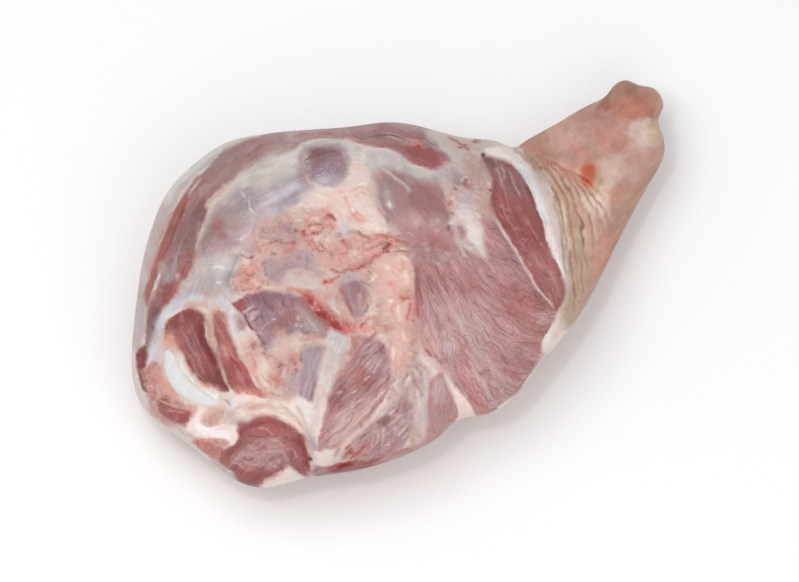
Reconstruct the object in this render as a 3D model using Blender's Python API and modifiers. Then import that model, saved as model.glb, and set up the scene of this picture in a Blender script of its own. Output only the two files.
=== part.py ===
"""Raw pork shoulder with its shank, lying on its rind with the boned inner face up.

One solid holds the meat, its fat, the rind and the skin of the shank. The end of the
blade bone, which shows at the cut end, is a second solid seated in a pocket of the first.

The form is a loft. Its plan outline is drawn on a plane that leans back from the
horizontal, square to the line from which the inner face shows in full. Sections across
the long axis of the joint swell from that outline to the front and to the back, relief
is added on the face, and the underside is pressed flat where it bears on a table.
"""

import math

import bmesh
import bpy
import numpy as np

# Driving sizes, in metres
OVERALL_WIDTH = 0.399
FACE_SWELL = 0.056
RIND_SWELL = 0.062
RIM_HEIGHT = 0.052
RIM_RISE_TO_BACK = 0.07
SHANK_RIM_HEIGHT = 0.040
FLAT_BLEND = 0.0035
RELIEF_EASE = 0.018
POCKET_GAP = 0.0005

# The plane of the plan: its lean, and its grid, whose x runs right and y runs down
FACE_ELEVATION = math.radians(65)
PLAN_LEFT, PLAN_RIGHT = 133, 665
PLAN_CENTRE = (400, 282)
UNIT = OVERALL_WIDTH / (PLAN_RIGHT - PLAN_LEFT)
LONG_AXIS = math.radians(30)

# Where the body's rim height starts to change into the shank's, and over what length
SHANK_START = (470, 220)
SHANK_CHANGE = 150

# Plan outline, anticlockwise from the tip of the shank
OUTLINE = [
    (665, 104), (655, 87), (641, 84), (628, 79), (616, 84), (607, 95), (592, 103),
    (552, 126), (524, 142), (515, 147), (500, 142), (470, 138), (438, 131), (395, 122),
    (353, 126), (300, 130), (262, 134), (225, 143), (195, 163), (169, 190), (153, 225),
    (143, 262), (137, 305), (133, 358), (139, 396), (158, 421), (190, 443), (214, 462),
    (240, 480), (267, 486), (302, 478), (351, 470), (405, 454), (440, 434), (456, 420),
    (488, 413), (515, 395), (538, 366), (577, 318), (612, 254), (651, 182), (664, 158),
    (665, 138), (660, 119),
]

# Swell of the face and of the rind side along the long axis, as shares of the full swell
SWELL_STATIONS = (0.0, 0.20, 0.42, 0.60, 0.72, 0.82, 0.92, 1.0)
FACE_SHARE = (0.84, 0.96, 1.00, 0.96, 0.84, 0.70, 0.56, 0.50)
RIND_SHARE = (0.84, 0.96, 1.00, 0.94, 0.76, 0.58, 0.48, 0.44)
FACE_SQUARENESS = (2.7, 2.9, 3.0, 2.9, 2.5, 2.15, 2.1, 2.2)
RIND_SQUARENESS = (2.1, 2.2, 2.25, 2.2, 2.1, 2.05, 2.0, 2.1)
BLADE_ROUNDING = 0.20
SHANK_ROUNDING = 0.05

# The end where the foot was taken off: its edge on the plan, and how steeply the cut falls
# away behind that edge
FOOT_CUT = [
    (607, 93), (616, 83), (628, 78), (641, 83), (655, 86), (666, 103), (661, 119), (666, 138),
]
FOOT_CUT_STEEPNESS = 2.2

# The edge of the rind and its fat where the meat face ends at the shank
COLLAR = [(500, 139), (524, 156), (544, 190), (558, 235), (568, 285), (566, 318), (545, 360)]
COLLAR_DROP = 0.008
COLLAR_EASE = 0.006

# Swells of single muscles and hollows between them: centre, radii, turn, height in metres
MOUNDS = {
    "subscapular_muscle": ((258, 217), (74, 25), 35, 0.0075),
    "upper_muscle_head": ((326, 160), (26, 17), 15, 0.0025),
    "upper_edge_muscle": ((400, 138), (52, 14), -4, 0.0040),
    "inner_arm_muscle": ((432, 186), (48, 22), -30, 0.0040),
    "broad_arm_muscle": ((478, 300), (84, 58), -52, 0.0080),
    "shank_end_muscle": ((538, 232), (72, 16), -66, 0.0050),
    "lower_middle_muscle": ((350, 405), (58, 24), 52, 0.0050),
    "lower_edge_muscle": ((410, 425), (34, 20), 38, 0.0035),
    "purple_muscle": ((272, 332), (46, 32), -35, 0.0040),
    "blade_muscle": ((190, 345), (40, 20), -58, 0.0030),
    "neck_chunk": ((276, 445), (40, 27), -12, 0.0080),
    "central_hollow": ((328, 262), (66, 30), 12, -0.0060),
    "fat_ridge": ((397, 318), (62, 15), -80, 0.0040),
    "upper_fat": ((368, 192), (24, 34), 10, 0.0030),
    "shank_knuckle": ((628, 97), (22, 14), -25, 0.0035),
    "shank_heel": ((650, 152), (16, 26), 10, 0.0035),
    "shank_hollow": ((640, 124), (18, 12), 30, -0.0025),
}

# Seams between muscles, which sink, and bands of fat and tendon, which stand up:
# path, half width and height in metres
SEAMS = {
    "rind_seam": (
        [(158, 404), (151, 352), (160, 300), (180, 240), (207, 195), (240, 164)],
        0.0065,
        -0.0042,
    ),
    "blade_seam": (
        [(160, 330), (182, 280), (210, 230), (252, 190), (300, 166), (345, 150)],
        0.0062,
        -0.0034,
    ),
    "neck_seam": (
        [(222, 424), (255, 411), (288, 418), (308, 442), (315, 474)],
        0.0060,
        -0.0065,
    ),
    "fat_seam": (
        [(236, 292), (282, 290), (322, 308), (352, 336), (345, 372), (326, 425)],
        0.0060,
        -0.0038,
    ),
    "arm_seam": (
        [(432, 395), (420, 350), (422, 300), (428, 255), (415, 220)],
        0.0062,
        -0.0042,
    ),
    "lower_seam": (
        [(330, 468), (372, 430), (408, 398), (432, 372)],
        0.0060,
        -0.0042,
    ),
    "shank_muscle_seam": (
        [(492, 160), (502, 198), (522, 245), (548, 300)],
        0.0058,
        -0.0038,
    ),
    "edge_seam": (
        [(350, 134), (400, 144), (450, 165), (480, 190)],
        0.0060,
        -0.0030,
    ),
    "rim_seam": (
        [(322, 468), (380, 448), (430, 426)],
        0.0058,
        -0.0030,
    ),
    "collar_fat": (
        [(492, 146), (518, 160), (538, 192), (552, 238), (563, 288)],
        0.0068,
        0.0055,
    ),
    "main_tendon": (
        [(343, 338), (333, 385), (320, 430), (314, 466)],
        0.0060,
        0.0030,
    ),
    "blade_band": (
        [(152, 352), (160, 320), (182, 302), (212, 302), (226, 338), (256, 385)],
        0.0062,
        0.0035,
    ),
    "blade_slit": (
        [(202, 318), (212, 345), (232, 388)],
        0.0055,
        -0.0035,
    ),
}
SEAM_FADE = 0.12

# Folds of loose skin that fan out from the collar
FOLD_COUNT = 5
FOLD_START, FOLD_START_STEP = (522, 148), (7, 2)
FOLD_BEND, FOLD_BEND_STEP = (560, 200), (14, -1)
FOLD_END, FOLD_END_STEP = (577, 318), (10, -18)
FOLD_HALF_WIDTH = 0.0045
FOLD_DEPTH = 0.0034
FOLD_FADES = (0.20, 0.35)

# Slow unevenness of the flesh and of the rind
LUMP_SIZE = 0.055
FACE_LUMPS = 0.0020
RIND_LUMPS = 0.0026
LUMP_SEED = 7
LUMP_CELLS = 32

# The blade bone's end: the line along its middle, its half width and how deep it lies
BONE_LINE = [(166, 353), (168, 372), (178, 390), (196, 401), (218, 406)]
BONE_RADIUS = 0.0064
BONE_SUNK = 0.0036
BONE_TIP_SHARE = 0.55

# Mesh density before thinning, and the number of triangles kept
RINGS = 260
POINTS_PER_RING = 240
SECTION_SAMPLES = 400
END_CROWDING = 0.65
EVEN_MESH_SIZE = 0.0022
SMOOTHING_PASSES = 4
KEPT_TRIANGLES = 11200
FLAT_SNAP = 0.0003


def clear_scene():
    for old in list(bpy.data.objects):
        bpy.data.objects.remove(old, do_unlink=True)


def closed_spline(points, samples):
    """A smooth closed curve through the points, as a dense polyline."""
    p = np.array(points, float)
    n = len(p)
    step = np.linalg.norm(np.roll(p, -1, 0) - p, axis=1) ** 0.75
    before = np.roll(step, 1)
    system = np.zeros((n, n))
    right = np.zeros((n, 2))
    for i in range(n):
        a, b = before[i], step[i]
        system[i, i - 1] = b
        system[i, i] = 2 * (a + b)
        system[i, (i + 1) % n] = a
        right[i] = 3 * (b / a * (p[i] - p[i - 1]) + a / b * (p[(i + 1) % n] - p[i]))
    slope = np.linalg.solve(system, right)
    at = np.linspace(0, 1, samples, endpoint=False)[:, None]
    spans = []
    for i in range(n):
        j = (i + 1) % n
        m0, m1 = slope[i] * step[i], slope[j] * step[i]
        spans.append(
            (2 * at**3 - 3 * at**2 + 1) * p[i]
            + (at**3 - 2 * at**2 + at) * m0
            + (3 * at**2 - 2 * at**3) * p[j]
            + (at**3 - at**2) * m1
        )
    return np.concatenate(spans)


def open_spline(points, samples=10):
    """A smooth open curve through the points, with its ends included."""
    p = np.array(points, float)
    p = np.concatenate([[2 * p[0] - p[1]], p, [2 * p[-1] - p[-2]]])
    at = np.linspace(0, 1, samples, endpoint=False)[:, None]
    spans = []
    for a, b, c, d in zip(p, p[1:], p[2:], p[3:]):
        bend = 2 * a - 5 * b + 4 * c - d
        twist = 3 * b - a - 3 * c + d
        spans.append(0.5 * (2 * b + (c - a) * at + bend * at**2 + twist * at**3))
    return np.concatenate([*spans, p[-2:-1]])


def nearest_on(path, x, y):
    """Distance in metres to a path on the plan, the side it lies on, and how far along it is."""
    best = np.full(x.shape, np.inf)
    side = np.ones(x.shape)
    along = np.zeros(x.shape)
    for i, (a, b) in enumerate(zip(path, path[1:])):
        run = b - a
        share = ((x - a[0]) * run[0] + (y - a[1]) * run[1]) / max(run @ run, 1e-9)
        share = np.clip(share, 0, 1)
        gap = np.hypot(x - a[0] - share * run[0], y - a[1] - share * run[1])
        turn = run[0] * (y - a[1]) - run[1] * (x - a[0])
        nearer = gap < best
        best = np.where(nearer, gap, best)
        side = np.where(nearer, np.sign(turn), side)
        along = np.where(nearer, (i + share) / (len(path) - 1), along)
    return best * UNIT, side, along


def smooth_step(value):
    t = np.clip(value, 0, 1)
    return t * t * (3 - 2 * t)


def lumps(x, y, z, size, seed):
    """Smooth seeded noise from -1 to 1, on a lattice with cells of the given size."""
    lattice = np.random.default_rng(seed).uniform(-1, 1, (LUMP_CELLS,) * 3)
    cell = [np.floor(v / size).astype(int) for v in (x, y, z)]
    part = [smooth_step(v / size - c) for v, c in zip((x, y, z), cell)]
    total = np.zeros(x.shape)
    for i in (0, 1):
        for j in (0, 1):
            for k in (0, 1):
                weight = (
                    (part[0] if i else 1 - part[0])
                    * (part[1] if j else 1 - part[1])
                    * (part[2] if k else 1 - part[2])
                )
                corner = tuple((c + step) % LUMP_CELLS for c, step in zip(cell, (i, j, k)))
                total += weight * lattice[corner]
    return total


def skin_folds():
    """The fold lines, each a path on the plan."""
    for i in range(FOLD_COUNT):
        ends = [
            (base[0] + i * step[0], base[1] + i * step[1])
            for base, step in (
                (FOLD_START, FOLD_START_STEP),
                (FOLD_BEND, FOLD_BEND_STEP),
                (FOLD_END, FOLD_END_STEP),
            )
        ]
        yield open_spline(ends, 8)


def face_relief(x, y):
    """Height in metres that the muscles, seams, fat and folds add to the face."""
    height = np.zeros(x.shape)
    for centre, radii, turn, rise in MOUNDS.values():
        c, s = math.cos(math.radians(turn)), math.sin(math.radians(turn))
        dx, dy = x - centre[0], centre[1] - y
        u, v = (dx * c + dy * s) / radii[0], (dy * c - dx * s) / radii[1]
        height += rise * np.exp(-(u * u + v * v))
    for path, half_width, rise in SEAMS.values():
        gap, _, along = nearest_on(open_spline(path), x, y)
        fade = smooth_step(along / SEAM_FADE) * smooth_step((1 - along) / SEAM_FADE)
        height += rise * fade * np.exp(-((gap / half_width) ** 2))
    for fold in skin_folds():
        gap, _, along = nearest_on(fold, x, y)
        fade = smooth_step(along / FOLD_FADES[0]) * smooth_step((1 - along) / FOLD_FADES[1])
        height -= FOLD_DEPTH * fade * np.exp(-((gap / FOLD_HALF_WIDTH) ** 2))
    gap, side, _ = nearest_on(open_spline(COLLAR), x, y)
    height -= COLLAR_DROP * smooth_step(0.5 - side * gap / (2 * COLLAR_EASE))
    return height


def outline_sides():
    """The outline in axes along and across the joint, cut into its upper and lower side."""
    curve = closed_spline(OUTLINE, 16)
    along = curve[:, 0] * math.cos(LONG_AXIS) - curve[:, 1] * math.sin(LONG_AXIS)
    across = -curve[:, 0] * math.sin(LONG_AXIS) - curve[:, 1] * math.cos(LONG_AXIS)
    tip, blade = int(np.argmax(along)), int(np.argmin(along))
    along, across = np.roll(along, -tip), np.roll(across, -tip)
    blade = (blade - tip) % len(along)
    upper = slice(blade, None, -1)
    lower_along = np.append(along[blade:], along[0])
    lower_across = np.append(across[blade:], across[0])
    return (along[upper], across[upper]), (lower_along, lower_across)


def end_round(share, power):
    """Rises from 0 to 1 as an end of the joint rounds off."""
    q = np.clip(share, 0, 1)
    return (1 - (1 - q) ** power) ** (1 / power)


def section(station, first, last, upper, lower, swell):
    """One closed section across the joint: plan points and swell, round from the upper side."""
    along = first + station * (last - first)
    top = np.interp(along, *upper)
    bottom = np.interp(along, *lower)
    angle = np.linspace(0, 2 * math.pi, SECTION_SAMPLES + 1)
    cosine, sine = np.cos(angle), np.sin(angle)
    on_face = sine >= 0
    power = 2 / np.where(on_face, swell_of(station, FACE_SQUARENESS), swell_of(station, RIND_SQUARENESS))
    across = (top + bottom) / 2 + np.sign(cosine) * np.abs(cosine) ** power * (top - bottom) / 2
    round_off = end_round(station / BLADE_ROUNDING, 2.0) * end_round((1 - station) / SHANK_ROUNDING, 3.0)
    face, rind = (swell_of(station, shares) * full for shares, full in swell)
    depth = np.sign(sine) * np.abs(sine) ** power * np.where(on_face, face, rind) * round_off
    x = along * math.cos(LONG_AXIS) - across * math.sin(LONG_AXIS)
    y = -along * math.sin(LONG_AXIS) - across * math.cos(LONG_AXIS)
    return x, y, np.maximum(depth, -behind_foot_cut(x, y))


def behind_foot_cut(x, y):
    """How far behind the plan the joint reaches before it meets the cut where the foot was."""
    gap, _, _ = nearest_on(open_spline(FOOT_CUT, 4), x, y)
    return gap * FOOT_CUT_STEEPNESS


def swell_of(station, shares):
    return np.interp(station, SWELL_STATIONS, shares)


def evenly_spaced(x, y, depth, count):
    """The same closed section with its points at even distances."""
    steps = np.sqrt((np.diff(x) * UNIT) ** 2 + (np.diff(y) * UNIT) ** 2 + np.diff(depth) ** 2)
    length = np.concatenate([[0], np.cumsum(steps)])
    wanted = np.linspace(0, length[-1], count, endpoint=False)
    return [np.interp(wanted, length, v) for v in (x, y, depth)]


def rim_height(x, y):
    """Height of the widest line of the joint above the table."""
    body = RIM_HEIGHT + RIM_RISE_TO_BACK * (PLAN_CENTRE[1] - y) * UNIT
    dx, dy = x - SHANK_START[0], y - SHANK_START[1]
    shank = smooth_step((dx * math.cos(LONG_AXIS) - dy * math.sin(LONG_AXIS)) / SHANK_CHANGE)
    return body * (1 - shank) + SHANK_RIM_HEIGHT * shank


def to_world(x, y, depth):
    """From the plan and the distance in front of it to the joint's own axes, in metres."""
    up = (PLAN_CENTRE[1] - y) * UNIT
    rim = (rim_height(x, y) - up * math.cos(FACE_ELEVATION)) / math.sin(FACE_ELEVATION)
    out = rim + depth
    return np.stack(
        [
            (x - PLAN_CENTRE[0]) * UNIT,
            up * math.sin(FACE_ELEVATION) - out * math.cos(FACE_ELEVATION),
            up * math.cos(FACE_ELEVATION) + out * math.sin(FACE_ELEVATION),
        ],
        axis=-1,
    )


def surface(x, y, depth):
    """Adds the relief and presses the underside flat."""
    front = smooth_step(depth / RELIEF_EASE)
    back = smooth_step(-depth / RELIEF_EASE)
    bumps = lumps(*np.moveaxis(to_world(x, y, depth), -1, 0), LUMP_SIZE, LUMP_SEED)
    depth = depth + front * (face_relief(x, y) + FACE_LUMPS * bumps) - back * RIND_LUMPS * bumps
    points = to_world(x, y, depth)
    z = points[..., 2]
    eased = np.where(z > -FLAT_BLEND, (z + FLAT_BLEND) ** 2 / (4 * FLAT_BLEND), 0)
    points[..., 2] = np.where(z >= FLAT_BLEND, z, eased)
    return points


def stations(count):
    """Places along the joint, from 0 to 1, close together at its round ends."""
    even = np.linspace(0, 1, count + 2)[1:-1]
    return (1 - END_CROWDING) * even + END_CROWDING * (1 - np.cos(math.pi * even)) / 2


def loft_mesh(name, rings, per_ring):
    """The closed skin of the joint: rings of points, with a point at each end."""
    upper, lower = outline_sides()
    first, last = upper[0][0], upper[0][-1]
    swell = ((FACE_SHARE, FACE_SWELL), (RIND_SHARE, RIND_SWELL))
    loops = [
        evenly_spaced(*section(s, first, last, upper, lower, swell), per_ring)
        for s in stations(rings)
    ]
    x, y, depth = (np.array(v) for v in zip(*loops))
    body = surface(x, y, depth).reshape(-1, 3)
    ends = [section(s, first, last, upper, lower, swell) for s in (0.0, 1.0)]
    ends = [surface(*(np.array([v.mean()]) for v in end)) for end in ends]
    points = np.concatenate([body, *ends])
    blade_point, tip_point = len(body), len(body) + 1
    faces = []
    for i in range(rings - 1):
        for j in range(per_ring):
            k = (j + 1) % per_ring
            near, far = i * per_ring, (i + 1) * per_ring
            faces.append((near + j, near + k, far + k, far + j))
    last_ring = (rings - 1) * per_ring
    for j in range(per_ring):
        k = (j + 1) % per_ring
        faces.append((blade_point, k, j))
        faces.append((tip_point, last_ring + j, last_ring + k))
    mesh = bpy.data.meshes.new(name)
    mesh.from_pydata(points.tolist(), [], faces)
    mesh.update()
    return mesh


def material(name, colour, roughness):
    made = bpy.data.materials.new(name)
    made.use_nodes = True
    shader = made.node_tree.nodes["Principled BSDF"]
    shader.inputs["Base Color"].default_value = (*colour, 1)
    shader.inputs["Roughness"].default_value = roughness
    return made


def add_object(name, data, collection):
    obj = bpy.data.objects.new(name, data)
    collection.objects.link(obj)
    return obj


def new_collection(name):
    made = bpy.data.collections.new(name)
    bpy.context.scene.collection.children.link(made)
    return made


def thinned(obj, collection):
    """Thins the skin to the triangles that its shape needs, as a mesh of its own."""
    even = obj.modifiers.new("even", "REMESH")
    even.mode = "VOXEL"
    even.voxel_size = EVEN_MESH_SIZE
    even.use_smooth_shade = True
    smooth = obj.modifiers.new("smooth", "SMOOTH")
    smooth.iterations = SMOOTHING_PASSES
    bpy.context.view_layer.update()
    graph = bpy.context.evaluated_depsgraph_get()
    faces = sum(len(p.vertices) - 2 for p in obj.evaluated_get(graph).data.polygons)
    thin = obj.modifiers.new("thin", "DECIMATE")
    thin.ratio = KEPT_TRIANGLES / faces
    bpy.context.view_layer.update()
    graph = bpy.context.evaluated_depsgraph_get()
    mesh = bpy.data.meshes.new_from_object(obj.evaluated_get(graph))
    name = obj.name
    bpy.data.objects.remove(obj)
    return add_object(name, mesh, collection)


def face_point(x, y):
    """The point of the finished face over a place on the plan, before the joint is centred."""
    upper, lower = outline_sides()
    first, last = upper[0][0], upper[0][-1]
    along = x * math.cos(LONG_AXIS) - y * math.sin(LONG_AXIS)
    across = -x * math.sin(LONG_AXIS) - y * math.cos(LONG_AXIS)
    station = (along - first) / (last - first)
    swell = ((FACE_SHARE, FACE_SWELL), (RIND_SHARE, RIND_SWELL))
    ring_x, ring_y, ring_depth = section(station, first, last, upper, lower, swell)
    ring_across = -ring_x * math.sin(LONG_AXIS) - ring_y * math.cos(LONG_AXIS)
    half = len(ring_across) // 2
    depth = np.interp(-across, -ring_across[: half + 1], ring_depth[: half + 1])
    return surface(np.array([x]), np.array([y]), np.array([depth]))[0]


def into_face(x, y):
    """Direction straight into the flesh under a place on the plan."""
    reach = BONE_RADIUS / UNIT
    right = face_point(x + reach, y) - face_point(x - reach, y)
    up = face_point(x, y - reach) - face_point(x, y + reach)
    inward = np.cross(up, right)
    return inward / np.linalg.norm(inward)


def bone_tube(name, radius, shift, collection):
    """A round bar along the bone's line, thinner at its tips, sunk under the face."""
    line = open_spline(BONE_LINE, 4)
    curve = bpy.data.curves.new(name, "CURVE")
    curve.dimensions = "3D"
    curve.bevel_depth = radius
    curve.bevel_resolution = 4
    curve.use_fill_caps = True
    spline = curve.splines.new("POLY")
    spline.points.add(len(line) - 1)
    for i, (point, (x, y)) in enumerate(zip(spline.points, line)):
        at = face_point(x, y) + into_face(x, y) * BONE_SUNK + shift
        point.co = (*at, 1)
        share = i / (len(line) - 1)
        point.radius = BONE_TIP_SHARE + (1 - BONE_TIP_SHARE) * math.sin(math.pi * share) ** 0.5
    tube = add_object(name + "_curve", curve, collection)
    bpy.context.view_layer.update()
    graph = bpy.context.evaluated_depsgraph_get()
    mesh = bpy.data.meshes.new_from_object(tube.evaluated_get(graph))
    bpy.data.objects.remove(tube)
    obj = add_object(name, mesh, collection)
    weld(mesh)
    return obj


def weld(mesh):
    """Joins a tube's caps to its sides."""
    bm = bmesh.new()
    bm.from_mesh(mesh)
    bmesh.ops.remove_doubles(bm, verts=bm.verts, dist=0.00001)
    bmesh.ops.recalc_face_normals(bm, faces=bm.faces)
    bm.to_mesh(mesh)
    bm.free()


def cut_pocket(shoulder, cutter):
    cutter.hide_render = True
    cutter.display_type = "WIRE"
    cut = shoulder.modifiers.new("bone_pocket", "BOOLEAN")
    cut.operation = "DIFFERENCE"
    cut.solver = "EXACT"
    cut.object = cutter


def main():
    clear_scene()
    parts = new_collection("pork_shoulder_joint")
    cutters = new_collection("cutters")
    raw_meat = material("raw_meat", (0.44, 0.19, 0.18), 0.42)
    bone = material("bone", (0.74, 0.70, 0.67), 0.35)

    shoulder = add_object("pork_shoulder", loft_mesh("pork_shoulder", RINGS, POINTS_PER_RING), parts)
    shoulder = thinned(shoulder, parts)
    corners = np.array([v.co for v in shoulder.data.vertices])
    low, high = corners.min(0), corners.max(0)
    centring = -np.array([(low[0] + high[0]) / 2, (low[1] + high[1]) / 2, 0])
    for vertex, corner in zip(shoulder.data.vertices, corners + centring):
        if corner[2] < FLAT_SNAP:
            corner[2] = 0
        vertex.co = corner
    shoulder.data.materials.append(raw_meat)
    shoulder.data.shade_smooth()

    blade = bone_tube("blade_bone", BONE_RADIUS, centring, parts)
    blade.data.materials.append(bone)
    blade.data.shade_smooth()
    pocket = bone_tube("bone_pocket_cutter", BONE_RADIUS + POCKET_GAP, centring, cutters)
    cut_pocket(shoulder, pocket)


main()
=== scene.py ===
"""Raw pork shoulder with its shank: its looks.

The joint lies on its rind with the boned inner face up. Its flesh, fat, rind and skin are four
meshes that adjoin, drawn from the same plan as the solid and with finer relief. The patches of
muscle, fat, silverskin, blood and skin are named below and placed on the plan, whose x runs
right and whose y runs down, in units of three quarters of a millimetre.
"""

import math
from collections import namedtuple
from functools import partial

import bpy
import numpy as np
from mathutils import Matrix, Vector


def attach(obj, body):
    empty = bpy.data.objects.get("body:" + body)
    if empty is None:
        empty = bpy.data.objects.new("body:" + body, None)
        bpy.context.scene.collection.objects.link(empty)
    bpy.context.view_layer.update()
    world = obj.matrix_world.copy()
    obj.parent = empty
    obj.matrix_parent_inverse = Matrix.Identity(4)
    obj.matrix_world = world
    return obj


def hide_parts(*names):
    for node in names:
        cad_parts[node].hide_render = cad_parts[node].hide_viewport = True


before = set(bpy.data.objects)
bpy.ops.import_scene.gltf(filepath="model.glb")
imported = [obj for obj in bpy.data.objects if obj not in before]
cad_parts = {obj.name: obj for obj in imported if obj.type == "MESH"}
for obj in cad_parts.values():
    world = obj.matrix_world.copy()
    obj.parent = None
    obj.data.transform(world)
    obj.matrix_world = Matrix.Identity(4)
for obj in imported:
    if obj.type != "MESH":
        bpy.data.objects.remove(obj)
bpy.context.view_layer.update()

# The plan and the sizes of the solid, in metres
OVERALL_WIDTH = 0.399
FACE_SWELL = 0.056
RIND_SWELL = 0.062
RIM_HEIGHT = 0.052
RIM_RISE_TO_BACK = 0.07
SHANK_RIM_HEIGHT = 0.040
FLAT_BLEND = 0.0035
RELIEF_EASE = 0.018
FACE_ELEVATION = math.radians(65)
PLAN_LEFT, PLAN_RIGHT = 133, 665
PLAN_CENTRE = (400, 282)
UNIT = OVERALL_WIDTH / (PLAN_RIGHT - PLAN_LEFT)
LONG_AXIS = math.radians(30)
SHANK_START = (470, 220)
SHANK_CHANGE = 150

# Plan outline, anticlockwise from the tip of the shank
OUTLINE = [
    (665, 104), (655, 87), (641, 84), (628, 79), (616, 84), (607, 95), (592, 103),
    (552, 126), (524, 142), (515, 147), (500, 142), (470, 138), (438, 131), (395, 122),
    (353, 126), (300, 130), (262, 134), (225, 143), (195, 163), (169, 190), (153, 225),
    (143, 262), (137, 305), (133, 358), (139, 396), (158, 421), (190, 443), (214, 462),
    (240, 480), (267, 486), (302, 478), (351, 470), (405, 454), (440, 434), (456, 420),
    (488, 413), (515, 395), (538, 366), (577, 318), (612, 254), (651, 182), (664, 158),
    (665, 138), (660, 119),
]
SWELL_STATIONS = (0.0, 0.20, 0.42, 0.60, 0.72, 0.82, 0.92, 1.0)
FACE_SHARE = (0.84, 0.96, 1.00, 0.96, 0.84, 0.70, 0.56, 0.50)
RIND_SHARE = (0.84, 0.96, 1.00, 0.94, 0.76, 0.58, 0.48, 0.44)
FACE_SQUARENESS = (2.7, 2.9, 3.0, 2.9, 2.5, 2.15, 2.1, 2.2)
RIND_SQUARENESS = (2.1, 2.2, 2.25, 2.2, 2.1, 2.05, 2.0, 2.1)
BLADE_ROUNDING = 0.20
SHANK_ROUNDING = 0.05
BLADE_END_POWER = 2.0
SHANK_END_POWER = 3.0
FOOT_CUT = [
    (607, 93), (616, 83), (628, 78), (641, 83), (655, 86), (666, 103), (661, 119), (666, 138),
]
FOOT_CUT_STEEPNESS = 2.2
COLLAR = [(500, 139), (524, 156), (544, 190), (558, 235), (568, 285), (566, 318), (545, 360)]
COLLAR_DROP = 0.008
COLLAR_EASE = 0.0045

# Swells of single muscles and hollows between them: centre, radii, turn, height in metres
MOUNDS = {
    "subscapular_muscle": ((258, 217), (74, 25), 35, 0.0075),
    "upper_muscle_head": ((326, 160), (26, 17), 15, 0.0025),
    "upper_edge_muscle": ((400, 138), (52, 14), -4, 0.0040),
    "inner_arm_muscle": ((432, 186), (48, 22), -30, 0.0040),
    "broad_arm_muscle": ((478, 300), (84, 58), -52, 0.0080),
    "shank_end_muscle": ((538, 232), (72, 16), -66, 0.0050),
    "lower_middle_muscle": ((350, 405), (58, 24), 52, 0.0050),
    "lower_edge_muscle": ((410, 425), (34, 20), 38, 0.0035),
    "purple_muscle": ((272, 332), (46, 32), -35, 0.0040),
    "blade_muscle": ((190, 345), (40, 20), -58, 0.0030),
    "neck_chunk": ((276, 445), (40, 27), -12, 0.0080),
    "central_hollow": ((328, 262), (66, 30), 12, -0.0060),
    "fat_ridge": ((397, 318), (62, 15), -80, 0.0040),
    "upper_fat": ((368, 192), (24, 34), 10, 0.0030),
    "shank_knuckle": ((628, 97), (22, 14), -25, 0.0035),
    "shank_heel": ((650, 152), (16, 26), 10, 0.0035),
    "shank_hollow": ((640, 124), (18, 12), 30, -0.0025),
}

# Seams that sink and bands that stand up: path, half width and height in metres
SEAMS = {
    "rind_seam": ([(158, 404), (151, 352), (160, 300), (180, 240), (207, 195), (240, 164)], 0.0058, -0.0040),
    "blade_seam": ([(160, 330), (182, 280), (210, 230), (252, 190), (300, 166), (345, 150)], 0.0055, -0.0032),
    "neck_seam": ([(222, 424), (255, 411), (288, 418), (308, 442), (315, 474)], 0.0052, -0.0065),
    "fat_seam": ([(236, 292), (282, 290), (322, 308), (352, 336), (345, 372), (326, 425)], 0.0052, -0.0036),
    "arm_seam": ([(432, 395), (420, 350), (422, 300), (428, 255), (415, 220)], 0.0052, -0.0038),
    "lower_seam": ([(330, 468), (372, 430), (408, 398), (432, 372)], 0.0050, -0.0040),
    "shank_muscle_seam": ([(492, 200), (505, 232), (528, 272), (555, 312)], 0.0045, -0.0036),
    "edge_seam": ([(350, 140), (395, 137), (430, 158), (470, 180)], 0.0050, -0.0030),
    "rim_seam": ([(322, 468), (380, 448), (430, 426)], 0.0050, -0.0030),
    "collar_fat": ([(492, 146), (518, 160), (538, 192), (552, 238), (563, 288)], 0.0066, 0.0055),
    "main_tendon": ([(343, 338), (333, 385), (320, 430), (314, 466)], 0.0056, 0.0030),
    "blade_band": ([(152, 352), (160, 320), (182, 302), (212, 302), (226, 338), (256, 385)], 0.0056, 0.0034),
    "blade_slit": ([(202, 318), (212, 345), (232, 388)], 0.0042, -0.0034),
    "dark_groove": ([(155, 305), (152, 335), (143, 355), (148, 385)], 0.0030, -0.0030),
    "wedge_top_split": ([(495, 166), (503, 182), (514, 200)], 0.0016, 0.0010),
    "wedge_edge": ([(500, 160), (524, 176), (536, 205), (549, 246), (564, 284)], 0.0018, -0.0022),
    "chunk_edge": ([(300, 432), (309, 448), (312, 470)], 0.0020, -0.0022),
    "red_line": ([(343, 458), (362, 440), (378, 424), (390, 414)], 0.0018, -0.0020),
    "ridge_foot": ([(258, 258), (260, 236), (275, 218), (303, 204)], 0.0026, -0.0018),
    "pulled_fat_edge": ([(243, 250), (236, 270), (232, 284), (240, 294)], 0.0020, -0.0020),
}
SEAM_FADE = 0.12

# How far out a seam or fold still counts, in half widths
RELIEF_REACH = 4

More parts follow.
